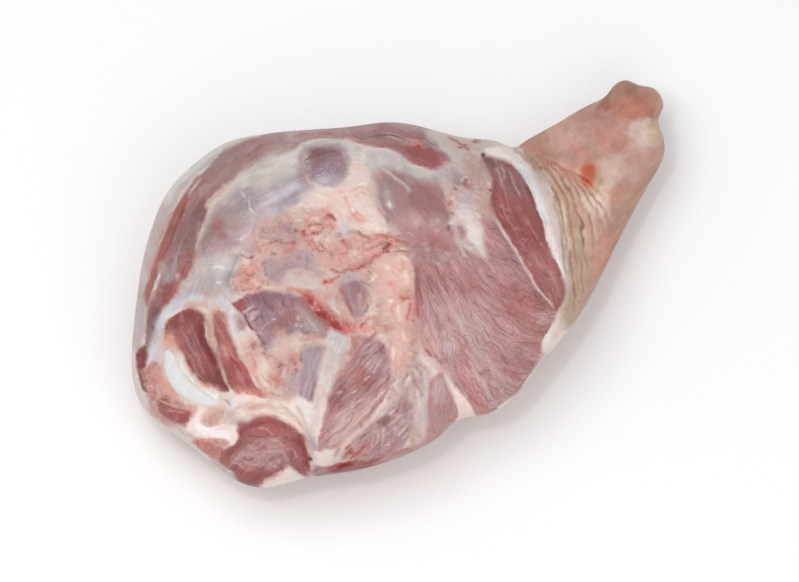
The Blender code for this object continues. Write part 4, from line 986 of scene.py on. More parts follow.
        [(418, 386), (421, 392), (423, 398)], [(412, 373), (415, 382), (419, 390)],
        [(408, 372), (406, 378)]], 2.2, -0.2),
    "strand_pale": line("fat", (226, 208, 201), 1.8, [
        [(398, 378), (395, 384), (398, 388)], [(409, 376), (405, 384)],
        [(414, 388), (418, 398), (420, 408)], [(410, 366), (416, 372), (424, 380)]], 1.8, 0.3),
    "strand_brown": line("muscle", (174, 138, 131), 1.8, [(402, 386), (407, 394), (404, 402)], 3, -0.2),
    "edge_end_muscle": patch("muscle", (182, 134, 132), 3, [
        (432, 378), (441, 371), (449, 384), (455, 400), (457, 417), (448, 430), (437, 437), (426, 442),
        (425, 430), (428, 404)], 1.2, "edge_end"),
    "edge_end_mauve": patch("muscle", (186, 152, 152), 5, [
        (434, 382), (441, 376), (446, 390), (442, 404), (434, 398)], 0.0, "edge_end"),
    "edge_end_spot": patch("blood", (196, 128, 108), 3, [(448, 415), (453, 413), (455, 419), (450, 421)]),
    "cream_notch": patch("fat", (229, 203, 193), 3, [
        (447, 378), (455, 386), (461, 396), (469, 404), (479, 417), (462, 424), (455, 424),
        (456, 402)], 0.8),
    "cream_notch_grey": line("fat", (206, 186, 182), 3, [(443, 372), (451, 386), (455, 400)], 3, 0.2),
    # The broad muscle of the arm
    "arm_muscle": patch("muscle", (182, 137, 136), 3, [
        (417, 250), (430, 240), (444, 228), (453, 226), (456, 240), (468, 250), (482, 258), (480, 240),
        (476, 216), (486, 214), (498, 228), (508, 242), (518, 260), (530, 281), (544, 299), (556, 313),
        (552, 325), (544, 336), (541, 348), (536, 362), (528, 376), (518, 392), (502, 404), (490, 416),
        (479, 419), (469, 403), (460, 393), (452, 381), (444, 369), (434, 361), (425, 352), (419, 340),
        (417, 320), (416, 290)], 1.6, "arm"),
    "arm_mauve": patch("muscle", (186, 145, 144), 16, [
        (425, 310), (445, 296), (470, 316), (490, 330), (494, 352), (480, 366), (462, 362), (440, 350),
        (426, 336)], 0.0, "arm"),
    "arm_red": patch("muscle", (179, 122, 121), 14, [
        (420, 266), (434, 258), (452, 258), (468, 270), (476, 288), (460, 292), (440, 286),
        (424, 292)], 0.0, "arm"),
    "arm_red_side": line("muscle", (170, 104, 102), 5, [
        (421, 256), (418, 276), (417, 300), (419, 322)], 4, -0.3, "arm"),
    "arm_upper_right": patch("muscle", (182, 134, 133), 14, [
        (484, 226), (500, 240), (520, 268), (540, 296), (534, 306), (512, 292), (490, 266)], 0.0, "arm"),
    "arm_dark": patch("muscle", (168, 112, 111), 14, [
        (500, 280), (520, 286), (546, 304), (540, 322), (520, 322), (500, 304)], 0.0, "arm"),
    "arm_smooth": patch("muscle", (180, 130, 127), 9, [
        (508, 322), (530, 318), (548, 322), (543, 340), (534, 362), (520, 384), (508, 384), (504, 360),
        (512, 344)], 0.0, "arm"),
    "arm_low_strip": patch("muscle", (187, 130, 126), 6, [
        (458, 330), (464, 336), (468, 360), (478, 384), (488, 404), (486, 416), (474, 406), (462, 384),
        (458, 360)], 0.0, "arm"),
    "arm_pale_low": patch("muscle", (190, 153, 149), 12, [
        (478, 364), (494, 372), (510, 384), (504, 400), (490, 404), (480, 386)], 0.0, "arm"),
    "arm_foot": patch("muscle", (198, 152, 146), 7, [
        (420, 330), (430, 334), (438, 350), (430, 356), (420, 346)]),
    "arm_top": patch("muscle", (173, 133, 132), 12, [
        (392, 222), (406, 216), (424, 218), (442, 218), (450, 228), (456, 240), (456, 254), (446, 262),
        (430, 262), (416, 266), (410, 252), (404, 240), (396, 232)], 0.0, "inner_arm"),
    "arm_top_pale": patch("muscle", (190, 166, 161), 7, [
        (410, 216), (416, 218), (419, 224), (414, 226), (410, 222)]),
    "arm_top_pale_b": line("fat", (190, 170, 162), 2, [(430, 221), (435, 223), (441, 222)], 3.5),
    "arm_top_red": patch("muscle", (164, 106, 105), 8, [
        (432, 236), (440, 235), (447, 245), (446, 252), (438, 248), (432, 244)]),
    "arm_top_flecks": line("fat", (196, 164, 155), 1.8, [
        [(420, 241), (424, 244), (428, 245)], [(408, 230), (414, 236)], [(436, 228), (441, 232)],
        [(424, 250), (431, 249)], [(444, 252), (450, 256)]], 3.0, 0.2),
    "arm_top_dark": line("muscle", (150, 106, 106), 1.4, [
        [(430, 243), (434, 246)], [(446, 246), (450, 252)], [(420, 226), (422, 232)],
        [(404, 240), (410, 244)], [(436, 252), (444, 254)], [(412, 248), (418, 246)]], 2.4, -0.1),
    # Marbled fascia above it
    "marbled": patch("torn", (196, 174, 168), 5, [
        (440, 166), (454, 158), (470, 152), (482, 158), (488, 176), (492, 190), (494, 206), (500, 226),
        (488, 214), (480, 214), (482, 232), (486, 254), (476, 252), (462, 240), (456, 226), (450, 210),
        (446, 190)], 0.4),
    "marbled_blue": patch("silver", (192, 180, 184), 6, [
        (440, 173), (448, 168), (462, 164), (462, 170), (452, 175), (444, 177)], 0.2),
    "marbled_tan": patch("fat", (184, 154, 136), 7, [
        (465, 164), (472, 161), (480, 165), (478, 172), (468, 172)]),
    "marbled_mauve": patch("muscle", (168, 140, 142), 5, [
        (453, 168), (458, 172), (462, 184), (457, 186), (452, 176)]),
    "marbled_red": patch("muscle", (160, 112, 111), 6, [
        (462, 179), (467, 177), (472, 180), (472, 188), (465, 188)], -0.2),
    "marbled_salmon": patch("torn", (200, 156, 142), 6, [
        (479, 180), (488, 180), (492, 190), (486, 196), (480, 190)]),
    "marbled_cream": patch("fat", (208, 190, 180), 5, [
        (483, 172), (490, 174), (494, 184), (489, 188), (484, 180)], 0.3),
    "marbled_lilac": patch("silver", (182, 160, 164), 6, [
        (457, 194), (466, 192), (474, 198), (476, 208), (466, 206), (458, 202)]),
    "marbled_pink": patch("torn", (204, 168, 154), 4, [
        (451, 192), (456, 191), (459, 200), (456, 206), (452, 202)], 0.2),
    "marbled_white": patch("fat", (210, 198, 195), 6, [
        (457, 210), (464, 203), (472, 208), (477, 220), (480, 234), (477, 246), (468, 240),
        (460, 228)], 0.6),
    "marbled_white_b": patch("fat", (220, 206, 201), 4, [
        (466, 226), (476, 226), (480, 238), (484, 250), (486, 262), (480, 252), (472, 244),
        (474, 236)], 0.4),
    "marbled_white_c": line("fat", (206, 184, 178), 3, [
        (453, 236), (458, 244), (463, 252), (465, 258)], 3, 0.3),
    "marbled_mauve_b": patch("muscle", (172, 144, 144), 8, [
        (455, 226), (462, 226), (466, 236), (462, 242), (456, 236)], 0.1),
    "marbled_right": patch("torn", (198, 172, 163), 5, [
        (480, 206), (488, 206), (494, 216), (490, 222), (482, 216)], 0.1),
    "marbled_specks": line("muscle", (148, 96, 88), 2.0, [
        [(449, 208), (450, 204), (453, 201)], [(450, 212), (454, 215)], [(455, 188), (458, 190)],
        [(464, 184), (468, 183)], [(489, 191), (493, 190)], [(448, 225), (449, 232)]], 2.2, -0.2),
    "marbled_threads": line("fat", (216, 194, 188), 1.6, [
        [(461, 181), (465, 178), (471, 178)], [(468, 184), (471, 180)], [(453, 196), (456, 204)],
        [(482, 174), (486, 171)], [(490, 188), (495, 186)], [(474, 210), (480, 220)]], 1.6, 0.3),
    "top_fat": patch("fat", (198, 186, 180), 5, [
        (424, 126), (440, 132), (452, 142), (462, 152), (456, 162), (446, 156), (436, 146),
        (428, 138)], 0.4),
    "top_edge": patch("fat", (198, 176, 167), 5, [
        (446, 128), (470, 132), (500, 137), (516, 144), (510, 154), (492, 150), (478, 150), (462, 152),
        (450, 146)], 0.4),
    "top_edge_red": line("muscle", (182, 134, 122), 3.5, [
        [(448, 137), (456, 141), (463, 146), (472, 151)], [(472, 141), (480, 142)]], 3.5, -0.1),
    "top_edge_dark": line("muscle", (154, 90, 76), 1.4, [
        [(448, 136), (453, 138)], [(463, 146), (468, 144)], [(473, 141), (477, 143)],
        [(457, 147), (462, 148)]], 2.0, -0.3),
    "top_tan": line("fat", (192, 160, 150), 4, [(484, 150), (496, 153), (508, 158)], 4),
    # The wedge of muscle cut across at the shank
    "wedge": patch("muscle", (162, 97, 96), 2, [
        (482, 156), (490, 161), (500, 161), (511, 165), (523, 178), (531, 193), (537, 214), (543, 235),
        (551, 254), (559, 270), (566, 288), (563, 301), (556, 312), (547, 304), (537, 290), (527, 272),
        (515, 250), (504, 232), (494, 215), (491, 200), (494, 190), (491, 178),
        (485, 166)], 1.4, "wedge"),
    "wedge_top": patch("muscle", (142, 98, 97), 16, [
        (484, 158), (500, 162), (514, 168), (526, 186), (528, 198), (510, 196),
        (494, 182)], 0.0, "wedge"),
    "wedge_mid": patch("muscle", (151, 79, 78), 17, [
        (494, 196), (512, 200), (532, 204), (540, 232), (524, 240), (508, 234),
        (496, 214)], 0.0, "wedge"),
    "wedge_low": patch("muscle", (168, 105, 104), 11, [
        (524, 248), (546, 254), (558, 276), (560, 294), (548, 298), (534, 276)], 0.0, "wedge"),
    "wedge_side": line("muscle", (140, 80, 78), 4, [
        (524, 182), (534, 206), (541, 232), (549, 252)], 4, 0.0, "wedge"),
    "wedge_black": patch("muscle", (92, 58, 52), 1.8, [
        (481, 154), (483, 153), (485, 156), (483, 158)], -0.5, None, True),
    "wedge_corner": patch("muscle", (126, 78, 78), 4, [
        (485, 157), (492, 159), (498, 164), (496, 170), (490, 166), (486, 162)], 0.0, "wedge"),
    "wedge_left": line("muscle", (128, 68, 66), 3, [
        [(495, 178), (494, 190), (492, 200), (495, 210)], [(500, 224), (506, 228)]], 4, -0.2, "wedge"),
    "wedge_marbling": line("fat", (180, 124, 120), 1.2, [
        [(498, 206), (504, 210), (509, 209)], [(506, 216), (511, 219)], [(512, 228), (519, 231)],
        [(500, 214), (505, 219)], [(518, 206), (523, 210)], [(524, 222), (530, 225)],
        [(520, 240), (527, 243)], [(530, 252), (536, 256)], [(538, 264), (545, 267)],
        [(540, 240), (544, 245)], [(546, 278), (552, 281)], [(526, 260), (531, 265)]], 2.2, 0.1),
    "wedge_dark_grains": line("muscle", (142, 72, 70), 1.2, [
        [(502, 204), (507, 206)], [(511, 214), (516, 213)], [(505, 224), (510, 226)],
        [(518, 226), (524, 225)], [(526, 236), (532, 237)], [(532, 246), (538, 248)],
        [(522, 252), (528, 256)], [(540, 272), (546, 275)],
        [(534, 216), (537, 222)]], 2.4, -0.1, "wedge"),
    "wedge_white_a": line("fat", (186, 160, 155), 1.6, [
        (494, 168), (499, 176), (503, 188)], 2.2, 0.2, None, True),
    "wedge_white_b": line("fat", (182, 156, 150), 1.4, [
        (507, 167), (512, 180), (516, 190), (521, 198)], 2.2, 0.2, None, True),
    "wedge_white_c": line("fat", (186, 160, 154), 1.4, [(499, 164), (503, 172), (504, 182)], 1.6, 0.2),
    "white_seam": line("fat", (214, 190, 181), 2.2, [
        (493, 214), (499, 224), (507, 238), (516, 254), (526, 272), (538, 290), (548, 302),
        (558, 315)], 1.8, 0.6, None, True),
    # The collar of fat and the rind's edge round it
    "collar_white": patch("fat", (226, 214, 208), 2.5, [
        (484, 150), (500, 146), (514, 147), (526, 154), (538, 165), (549, 184), (557, 206), (560, 230),
        (562, 254), (567, 272), (570, 290), (570, 304), (566, 318), (560, 334), (551, 346), (543, 352),
        (540, 346), (545, 334), (552, 322), (558, 312), (564, 300), (565, 287), (559, 270), (551, 252),
        (544, 232), (537, 210), (530, 191), (521, 174), (508, 161), (494, 157)], 0.9, None, True),
    "collar_blue": line("fat", (212, 212, 212), 6, [
        (512, 160), (525, 172), (534, 188), (541, 208), (548, 232)], 4),
    "collar_pink": line("fat", (232, 212, 204), 5, [(534, 174), (545, 192), (552, 216), (556, 244)], 4),
    # Painted shadow: a thin dark line beside the collar of fat, over a slight dent
    "collar_painted_shadow_line": line("skin", (160, 138, 122), 1.5, [
        (554, 200), (559, 218), (562, 244), (563, 262), (567, 278)], 2.0, -0.5, None, True),
    "collar_low_pink": line("fat", (226, 204, 190), 6, [(566, 306), (560, 326), (550, 342)], 4),
    "collar_top_tan": line("fat", (196, 164, 150), 3.5, [(514, 149), (528, 158), (540, 170)], 3),
    "rind_lower_edge": line("fat", (222, 204, 196), 7, [
        (560, 342), (540, 368), (517, 398), (488, 418), (460, 424)], 4, 0.3),
    # The skin of the shank
    "shank_skin": patch("skin", (190, 148, 132), 2.5, [
        (514, 140), (526, 152), (540, 164), (551, 182), (559, 206), (563, 232), (565, 254), (570, 272),
        (573, 290), (573, 304), (569, 318), (562, 336), (560, 350), (600, 340), (690, 180), (690, 60),
        (600, 60)], 0.3, "skin"),
    "skin_pink_top": patch("skin", (186, 138, 125), 14, [
        (535, 135), (570, 112), (605, 98), (640, 100), (640, 128), (605, 138), (570, 150), (548, 148)]),
    "skin_pink_knob": patch("skin", (176, 117, 98), 11, [
        (612, 92), (636, 90), (656, 96), (656, 114), (636, 120), (616, 112)]),
    "skin_brown_knob": patch("skin", (158, 116, 98), 9, [
        (600, 100), (612, 82), (632, 76), (642, 84), (632, 94), (616, 98), (606, 106)]),
    "skin_red_dab": patch("skin", (164, 104, 86), 6, [
        (602, 102), (610, 98), (617, 102), (610, 107), (604, 107)]),
    "skin_pale_heel": patch("skin", (210, 184, 172), 12, [
        (630, 124), (650, 118), (660, 128), (656, 148), (640, 152), (628, 140)]),
    "skin_yellow": patch("skin", (202, 178, 152), 7, [
        (650, 126), (657, 122), (661, 132), (657, 142), (651, 138)]),
    "skin_heel_pink": patch("skin", (192, 150, 140), 8, [
        (632, 150), (650, 146), (666, 146), (662, 164), (646, 176), (634, 166)]),
    "skin_pink_mid": patch("skin", (186, 132, 118), 12, [
        (596, 132), (618, 128), (626, 142), (618, 154), (602, 150)]),
    "skin_brown_spot": patch("skin", (172, 122, 104), 8, [
        (614, 146), (620, 143), (624, 147), (619, 152)]),
    "skin_pale_band": patch("skin", (196, 153, 140), 13, [
        (556, 132), (580, 124), (592, 132), (584, 146), (562, 150)]),
    "skin_white_mid": patch("skin", (204, 174, 160), 13, [
        (598, 162), (618, 158), (626, 170), (620, 184), (602, 190), (592, 184)]),
    "skin_white_low": patch("skin", (200, 170, 153), 12, [
        (580, 196), (596, 188), (612, 198), (610, 212), (596, 220), (584, 212)]),
    "skin_red_patch": patch("skin", (186, 132, 112), 8, [
        (609, 196), (614, 188), (626, 184), (630, 194), (620, 200), (612, 204)]),
    "skin_tan_edge": patch("skin", (185, 145, 128), 12, [
        (618, 206), (640, 170), (654, 168), (640, 206), (610, 262), (588, 300), (586, 270), (600, 236)]),
    "skin_tan_low": patch("skin", (176, 146, 124), 11, [
        (562, 320), (572, 270), (574, 220), (584, 226), (586, 270), (582, 310), (568, 336)]),
    "skin_wrinkle_tan": patch("skin", (176, 140, 118), 8, [
        (524, 150), (545, 156), (568, 178), (578, 210), (574, 240), (564, 214), (552, 184), (536, 164)]),
    "skin_cream_strip": line("skin", (206, 180, 160), 4.5, [
        (556, 196), (563, 216), (567, 240), (568, 264)], 3, 0.3),
    "skin_red_top": patch("skin", (182, 130, 112), 9, [
        (524, 142), (540, 140), (552, 158), (570, 166), (574, 178), (556, 168), (536, 152)]),
    "skin_red_smear": line("skin", (204, 140, 126), 6, [(572, 150), (580, 151), (588, 153)], 6),
    "skin_red_halo": patch("skin", (198, 144, 124), 13, [
        (576, 166), (588, 158), (599, 164), (599, 180), (591, 194), (580, 186)], 0.0, None, True),
    "skin_red_core": patch("skin", (187, 98, 70), 8, [
        (581, 170), (588, 164), (595, 169), (594, 180), (588, 188), (583, 181)], 0.0, None, True),
    "skin_olive_ring": line("skin", (178, 150, 118), 3, [
        (584, 190), (592, 196), (600, 188), (604, 176)], 4),
    "skin_red_low": patch("skin", (196, 142, 126), 7, [
        (602, 240), (616, 230), (620, 240), (604, 264), (592, 280), (592, 262)]),
}

# How the paint wanders: sizes of the wander in plan units, and how far it goes
WANDERS = ((16.0, 2.0), (6.0, 1.3), (2.6, 0.9))
PAINT_SEED = 21
LOOSENESS = {"muscle": 0.8, "silver": 1.0, "fat": 1.2, "torn": 1.5, "skin": 1.8, "blood": 1.5}
STEADY = 0.35
COARSE_STEP = 1.5
LINE_FADE = 0.15
PATCH_SHOULDER = 7

# Where blood breaks up, edges are soft and rims have a film: layers of strength, size and seed
BREAKS = ((0.6, 5.5, 91), (0.4, 2.4, 92))
BLOOD_START, BLOOD_CONTRAST = 0.85, 1.6
SOFTNESS = ((0.8, 17, 93), (0.3, 5, 94))
SHARPEST, SOFTEST = 0.7, 2.6
FILM = ((0.9, 13, 95), (0.5, 3, 96))
FILM_START, FILM_SHARE, FILM_REACH = 0.35, 0.35, 1.6
FILM_COLOUR = (216, 200, 195)

# The steep sides: where they begin and are full, in metres in front of the rim, and how far the
# paint wanders on them: sizes in metres and reaches in plan units
WALL_TOP, WALL_FULL = 0.024, 0.008
WALL_WANDERS = ((0.030, 6.0), (0.012, 3.0))
WALL_SEED = 51

# The cut edge of the fat and rind below the rim: how far behind the rim each begins, in metres
EDGE_FAT_START = 0.0035
EDGE_SKIN_START = 0.0165
EDGE_BLUR = 0.0035
EDGE_WANDER = 0.004
EDGE_LAYERS = ((1.0, 0.030, 61), (0.5, 0.011, 62))
EDGE_FAT_COLOUR = (226, 206, 196)
RIND_COLOUR = (208, 178, 164)
RIND_MOTTLE = (0.040, 63)
RIND_MOTTLE_CHANGE = (4, 8, 8)

# Tones inside each tissue: sizes in plan units, seeds, and changes of the seen colour
SLOW, PATCHY, SMALL, TINY = (22, 71), (8, 72), (3.2, 73), (2.0, 78)
FIBRE_BEND, BEND_NOISE = 2.4, (14, 74)
COARSE_FIBRE, FINE_FIBRE = (26, 4.6, 75), (14, 2.3, 76)
MARBLE_FIBRE, SILVER_FIBRE = (20, 3.0, 79), (30, 1.9, 77)
PALE_FIBRE, DARK_FIBRE = (9, 13, 12), (-16, -20, -19)
FAT_FLUSH, FAT_CREAM = (-4, -18, -16), (8, 9, 8)
TORN_ROSE, TORN_CREAM = (214, 150, 138), (232, 209, 200)
TORN_LILAC, TORN_RED = (190, 160, 158), (186, 104, 96)
MARBLE_COLOUR, DEEP_COLOUR = (212, 186, 182), (140, 84, 84)
DRIFT_NOISE, DRIFT_CHANGE = (19, 80), (4, -6, -4)
SILVER_STREAK, SILVER_CLOUD = (8, 7, 7), (5, 7, 7)
SKIN_BLOTCH = (7, 10, 10)

# Fine relief, in metres
FIBRE_RELIEF = 0.00035
FAT_RELIEF = 0.0006
TORN_RELIEF = 0.0016
SKIN_RELIEF = 0.0003
LOBE_LAYERS = ((0.6, 7.5, 81), (0.4, 3.6, 82))
CREASE_STRETCH, CREASE_NOISE = 0.4, (3, 83)

KINDS = ("muscle", "fat", "skin", "silver", "torn")
FAN_BEND_REACH = 45
FAN_BEND_TURN = math.radians(40)
FAN_BEND_LEAST, FAN_BEND_MOST = 0.2, 1.6
FAN_SPREAD = 120
FLOW_MARGIN = 80
FLOW_LAYER = 17.0
MILLIMETRES = UNIT * 1000


# Curves and noise on the plan


def closed_spline(points, samples):
    """A smooth closed curve through the points, as a dense polyline."""
    p = np.array(points, float)
    n = len(p)
    step = np.linalg.norm(np.roll(p, -1, 0) - p, axis=1) ** 0.75
    before = np.roll(step, 1)
    system = np.zeros((n, n))
    right = np.zeros((n, 2))
    for i in range(n):
        a, b = before[i], step[i]
        system[i, i - 1] = b
        system[i, i] = 2 * (a + b)
        system[i, (i + 1) % n] = a
        right[i] = 3 * (b / a * (p[i] - p[i - 1]) + a / b * (p[(i + 1) % n] - p[i]))
    slope = np.linalg.solve(system, right)
    at = np.linspace(0, 1, samples, endpoint=False)[:, None]
    spans = []
    for i in range(n):
        j = (i + 1) % n
        m0, m1 = slope[i] * step[i], slope[j] * step[i]
        spans.append(
            (2 * at**3 - 3 * at**2 + 1) * p[i]
            + (at**3 - 2 * at**2 + at) * m0
            + (3 * at**2 - 2 * at**3) * p[j]
            + (at**3 - at**2) * m1
        )
    return np.concatenate(spans)


def open_spline(points, samples=10):
    """A smooth open curve through the points, with its ends included."""
    p = np.array(points, float)
    p = np.concatenate([[2 * p[0] - p[1]], p, [2 * p[-1] - p[-2]]])
    at = np.linspace(0, 1, samples, endpoint=False)[:, None]
    spans = []
    for a, b, c, d in zip(p, p[1:], p[2:], p[3:]):
        bend = 2 * a - 5 * b + 4 * c - d
        twist = 3 * b - a - 3 * c + d
        spans.append(0.5 * (2 * b + (c - a) * at + bend * at**2 + twist * at**3))
    return np.concatenate([*spans, p[-2:-1]])


def nearest_on(path, x, y):
    """Distance to a path in plan units, the side it lies on, and how far along it is."""
    best = np.full(x.shape, np.inf)
    side = np.ones(x.shape)
    along = np.zeros(x.shape)
    for i, (a, b) in enumerate(zip(path, path[1:])):
        run = b - a
        share = ((x - a[0]) * run[0] + (y - a[1]) * run[1]) / max(run @ run, 1e-9)
        share = np.clip(share, 0, 1)
        gap = np.hypot(x - a[0] - share * run[0], y - a[1] - share * run[1])
        turn = run[0] * (y - a[1]) - run[1] * (x - a[0])
        nearer = gap < best
        best = np.where(nearer, gap, best)
        side = np.where(nearer, np.sign(turn), side)
        along = np.where(nearer, (i + share) / (len(path) - 1), along)
    return best, side, along


def inside(polygon, x, y):
    """Whether each place lies in the polygon."""
    odd = np.zeros(x.shape, bool)
    for (ax, ay), (bx, by) in zip(polygon, np.roll(polygon, -1, 0)):
        if ay != by:
            crosses = ((ay > y) != (by > y)) & (x < (bx - ax) * (y - ay) / (by - ay) + ax)
            odd ^= crosses
    return odd


def close_to(path, x, y, reach):
    """Which places lie within reach of the box round a path."""
    low, high = path.min(0) - reach, path.max(0) + reach
    return (x > low[0]) & (x < high[0]) & (y > low[1]) & (y < high[1])


def smooth_step(value):
    t = np.clip(value, 0, 1)
    return t * t * (3 - 2 * t)


def lumps(x, y, z, size, seed):
    """Smooth seeded noise from -1 to 1, on a lattice with cells of the given size."""
    lattice = np.random.default_rng(seed).uniform(-1, 1, (LUMP_CELLS,) * 3)
    cell = [np.floor(v / size).astype(int) for v in (x, y, z)]
    part = [smooth_step(v / size - c) for v, c in zip((x, y, z), cell)]
    total = np.zeros(x.shape)
    for i in (0, 1):
        for j in (0, 1):
            for k in (0, 1):
                weight = (
                    (part[0] if i else 1 - part[0])
                    * (part[1] if j else 1 - part[1])
                    * (part[2] if k else 1 - part[2])
                )
                corner = tuple((c + step) % LUMP_CELLS for c, step in zip(cell, (i, j, k)))
                total += weight * lattice[corner]
    return total


def flat_lumps(x, y, size, seed):
    """The same noise on the plan, turned so that its lattice never lines up with the outline."""
    turn = math.radians(27 + 31 * (seed % 5))
    u = x * math.cos(turn) - y * math.sin(turn)
    v = x * math.sin(turn) + y * math.cos(turn)
    return lumps(u, v, np.full(x.shape, 0.37 * seed), size, seed)


def layered(noise, layers):
    """Layers of noise, each with its strength, size and seed, added up."""
    return sum(strength * noise(size, seed) for strength, size, seed in layers)


def wander(noise, layers, seed):
    """How far places move in x and in y: layers of noise, each with its size and reach."""
    return [
        layered(noise, [(reach, size, seed + 2 * i + j) for i, (size, reach) in enumerate(layers)])
        for j in (0, 1)
    ]


def wobbled(x, y):
    """The places shifted a little, so that seams and folds laid on them wander."""
    shift_x, shift_y = wander(partial(flat_lumps, x, y), WOBBLES, WOBBLE_SEED)
    return x + shift_x, y + shift_y


def near_line(path, x, y, moved, reach):
    """The places near a line, and how far from it and along it they lie once moved."""
    near = close_to(path, x, y, reach)
    gap, _, along = nearest_on(path, moved[0][near], moved[1][near])
    return near, gap, along


def fade_ends(along, start, end):
    """Fades a line in over its start and out over its end, both shares of its length."""
    return smooth_step(along / start) * smooth_step((1 - along) / end)


# The form


def face_relief(x, y):
    """Height in metres that the muscles, seams, fat and folds add to the face."""
    height = np.zeros(x.shape)
    for centre, radii, turn, rise in MOUNDS.values():
        c, s = math.cos(math.radians(turn)), math.sin(math.radians(turn))
        dx, dy = x - centre[0], centre[1] - y
        u, v = (dx * c + dy * s) / radii[0], (dy * c - dx * s) / radii[1]
        height += rise * np.exp(-(u * u + v * v))
    moved = wobbled(x, y)
    for path, half_width, rise in SEAMS.values():
        near, gap, along = near_line(open_spline(path), x, y, moved, RELIEF_REACH * half_width / UNIT)
        fade = fade_ends(along, SEAM_FADE, SEAM_FADE)
        height[near] += rise * fade * np.exp(-((gap * UNIT / half_width) ** 2))
    for path, fold_depth in FOLDS:
        fold = open_spline(path, FOLD_SAMPLES)
        near, gap, along = near_line(fold, x, y, moved, RELIEF_REACH * FOLD_HALF_WIDTH / UNIT)
        fade = fade_ends(along, *FOLD_FADES)
        height[near] -= FOLD_SHARE * fold_depth * fade * np.exp(-((gap * UNIT / FOLD_HALF_WIDTH) ** 2))
    gap, side, _ = nearest_on(open_spline(COLLAR), x, y)
    height -= COLLAR_DROP * smooth_step(0.5 - side * gap * UNIT / (2 * COLLAR_EASE))
    return height


def outline_sides():
    """The outline in axes along and across the joint, cut into its upper and lower side."""
    curve = closed_spline(OUTLINE, 24)
    along = curve[:, 0] * math.cos(LONG_AXIS) - curve[:, 1] * math.sin(LONG_AXIS)
    across = -curve[:, 0] * math.sin(LONG_AXIS) - curve[:, 1] * math.cos(LONG_AXIS)
    tip, blade = int(np.argmax(along)), int(np.argmin(along))
    along, across = np.roll(along, -tip), np.roll(across, -tip)
    blade = (blade - tip) % len(along)
    upper = slice(blade, None, -1)
    lower_along = np.append(along[blade:], along[0])
    lower_across = np.append(across[blade:], across[0])
    return (along[upper], across[upper]), (lower_along, lower_across)


UPPER_SIDE, LOWER_SIDE = outline_sides()
FIRST, LAST = UPPER_SIDE[0][0], UPPER_SIDE[0][-1]


def end_round(share, power):
    """Rises from 0 to 1 as an end of the joint rounds off."""
    q = np.clip(share, 0, 1)
    return (1 - (1 - q) ** power) ** (1 / power)


def share_of(station, shares):
    return np.interp(station, SWELL_STATIONS, shares)


SECTION_ANGLES = np.linspace(-RIM_TURN, 2 * math.pi - RIM_TURN, SECTION_SAMPLES + 1)
ON_FACE = SECTION_ANGLES <= math.pi + RIM_TURN


def section(station):
    """One closed section across the joint: plan points and swell, round from the upper side."""
    along = FIRST + station * (LAST - FIRST)
    top = np.interp(along, *UPPER_SIDE)
    bottom = np.interp(along, *LOWER_SIDE)
    cosine, sine = np.cos(SECTION_ANGLES), np.sin(SECTION_ANGLES)
    on_face = sine >= 0
    power = 2 / np.where(on_face, share_of(station, FACE_SQUARENESS), share_of(station, RIND_SQUARENESS))
    across = (top + bottom) / 2 + np.sign(cosine) * np.abs(cosine) ** power * (top - bottom) / 2
    round_off = end_round(station / BLADE_ROUNDING, BLADE_END_POWER)
    round_off *= end_round((1 - station) / SHANK_ROUNDING, SHANK_END_POWER)
    face = share_of(station, FACE_SHARE) * FACE_SWELL
    rind = share_of(station, RIND_SHARE) * RIND_SWELL
    depth = np.sign(sine) * np.abs(sine) ** power * np.where(on_face, face, rind) * round_off
    x = along * math.cos(LONG_AXIS) - across * math.sin(LONG_AXIS)
    y = -along * math.sin(LONG_AXIS) - across * math.cos(LONG_AXIS)
    gap, _, _ = nearest_on(open_spline(FOOT_CUT, 4), x, y)
    return x, y, np.maximum(depth, -gap * UNIT * FOOT_CUT_STEEPNESS)


def spread(x, y, depth):
    """The same closed section with its points at even distances, fewer of them behind the rim."""
    steps = np.sqrt((np.diff(x) * UNIT) ** 2 + (np.diff(y) * UNIT) ** 2 + np.diff(depth) ** 2)
    length = np.concatenate([[0], np.cumsum(steps)])
    turn = length[np.count_nonzero(ON_FACE) - 1]
    wanted = np.concatenate([
        np.linspace(0, turn, FACE_POINTS, endpoint=False),
        np.linspace(turn, length[-1], BACK_POINTS, endpoint=False),
    ])
    return [np.interp(wanted, length, v) for v in (x, y, depth)]


def stations(count):
    """Places along the joint, spaced so that neighbouring sections stay evenly apart."""
    trial = np.linspace(0, 1, TRIAL_STATIONS)[1:-1]
    places = np.array([[v[:: SECTION_SAMPLES // TRIAL_POINTS] for v in section(s)] for s in trial])
    places[:, :2] *= UNIT
    moves = np.sqrt((np.diff(places, axis=0) ** 2).sum(1))
    steps = np.sqrt((moves**2).mean(1)) * np.where(trial[1:] > DENSE_END, SHANK_DENSITY, 1)
    length = np.concatenate([[0], np.cumsum(steps)])
    edge = length[-1] / count / 2
    return np.interp(np.linspace(edge, length[-1] - edge, count), length, trial)


def rim_height(x, y):
    """Height of the widest line of the joint above the table."""
    body = RIM_HEIGHT + RIM_RISE_TO_BACK * (PLAN_CENTRE[1] - y) * UNIT
    dx, dy = x - SHANK_START[0], y - SHANK_START[1]
    shank = smooth_step((dx * math.cos(LONG_AXIS) - dy * math.sin(LONG_AXIS)) / SHANK_CHANGE)
    return body * (1 - shank) + SHANK_RIM_HEIGHT * shank


def to_world(x, y, depth):
    """From the plan and the distance in front of it to the joint's own axes, in metres."""
    up = (PLAN_CENTRE[1] - y) * UNIT
    rim = (rim_height(x, y) - up * math.cos(FACE_ELEVATION)) / math.sin(FACE_ELEVATION)
    out = rim + depth
    return np.stack(
        [
            (x - PLAN_CENTRE[0]) * UNIT,
            up * math.sin(FACE_ELEVATION) - out * math.cos(FACE_ELEVATION),
            up * math.cos(FACE_ELEVATION) + out * math.sin(FACE_ELEVATION),
        ],
        axis=-1,
    )


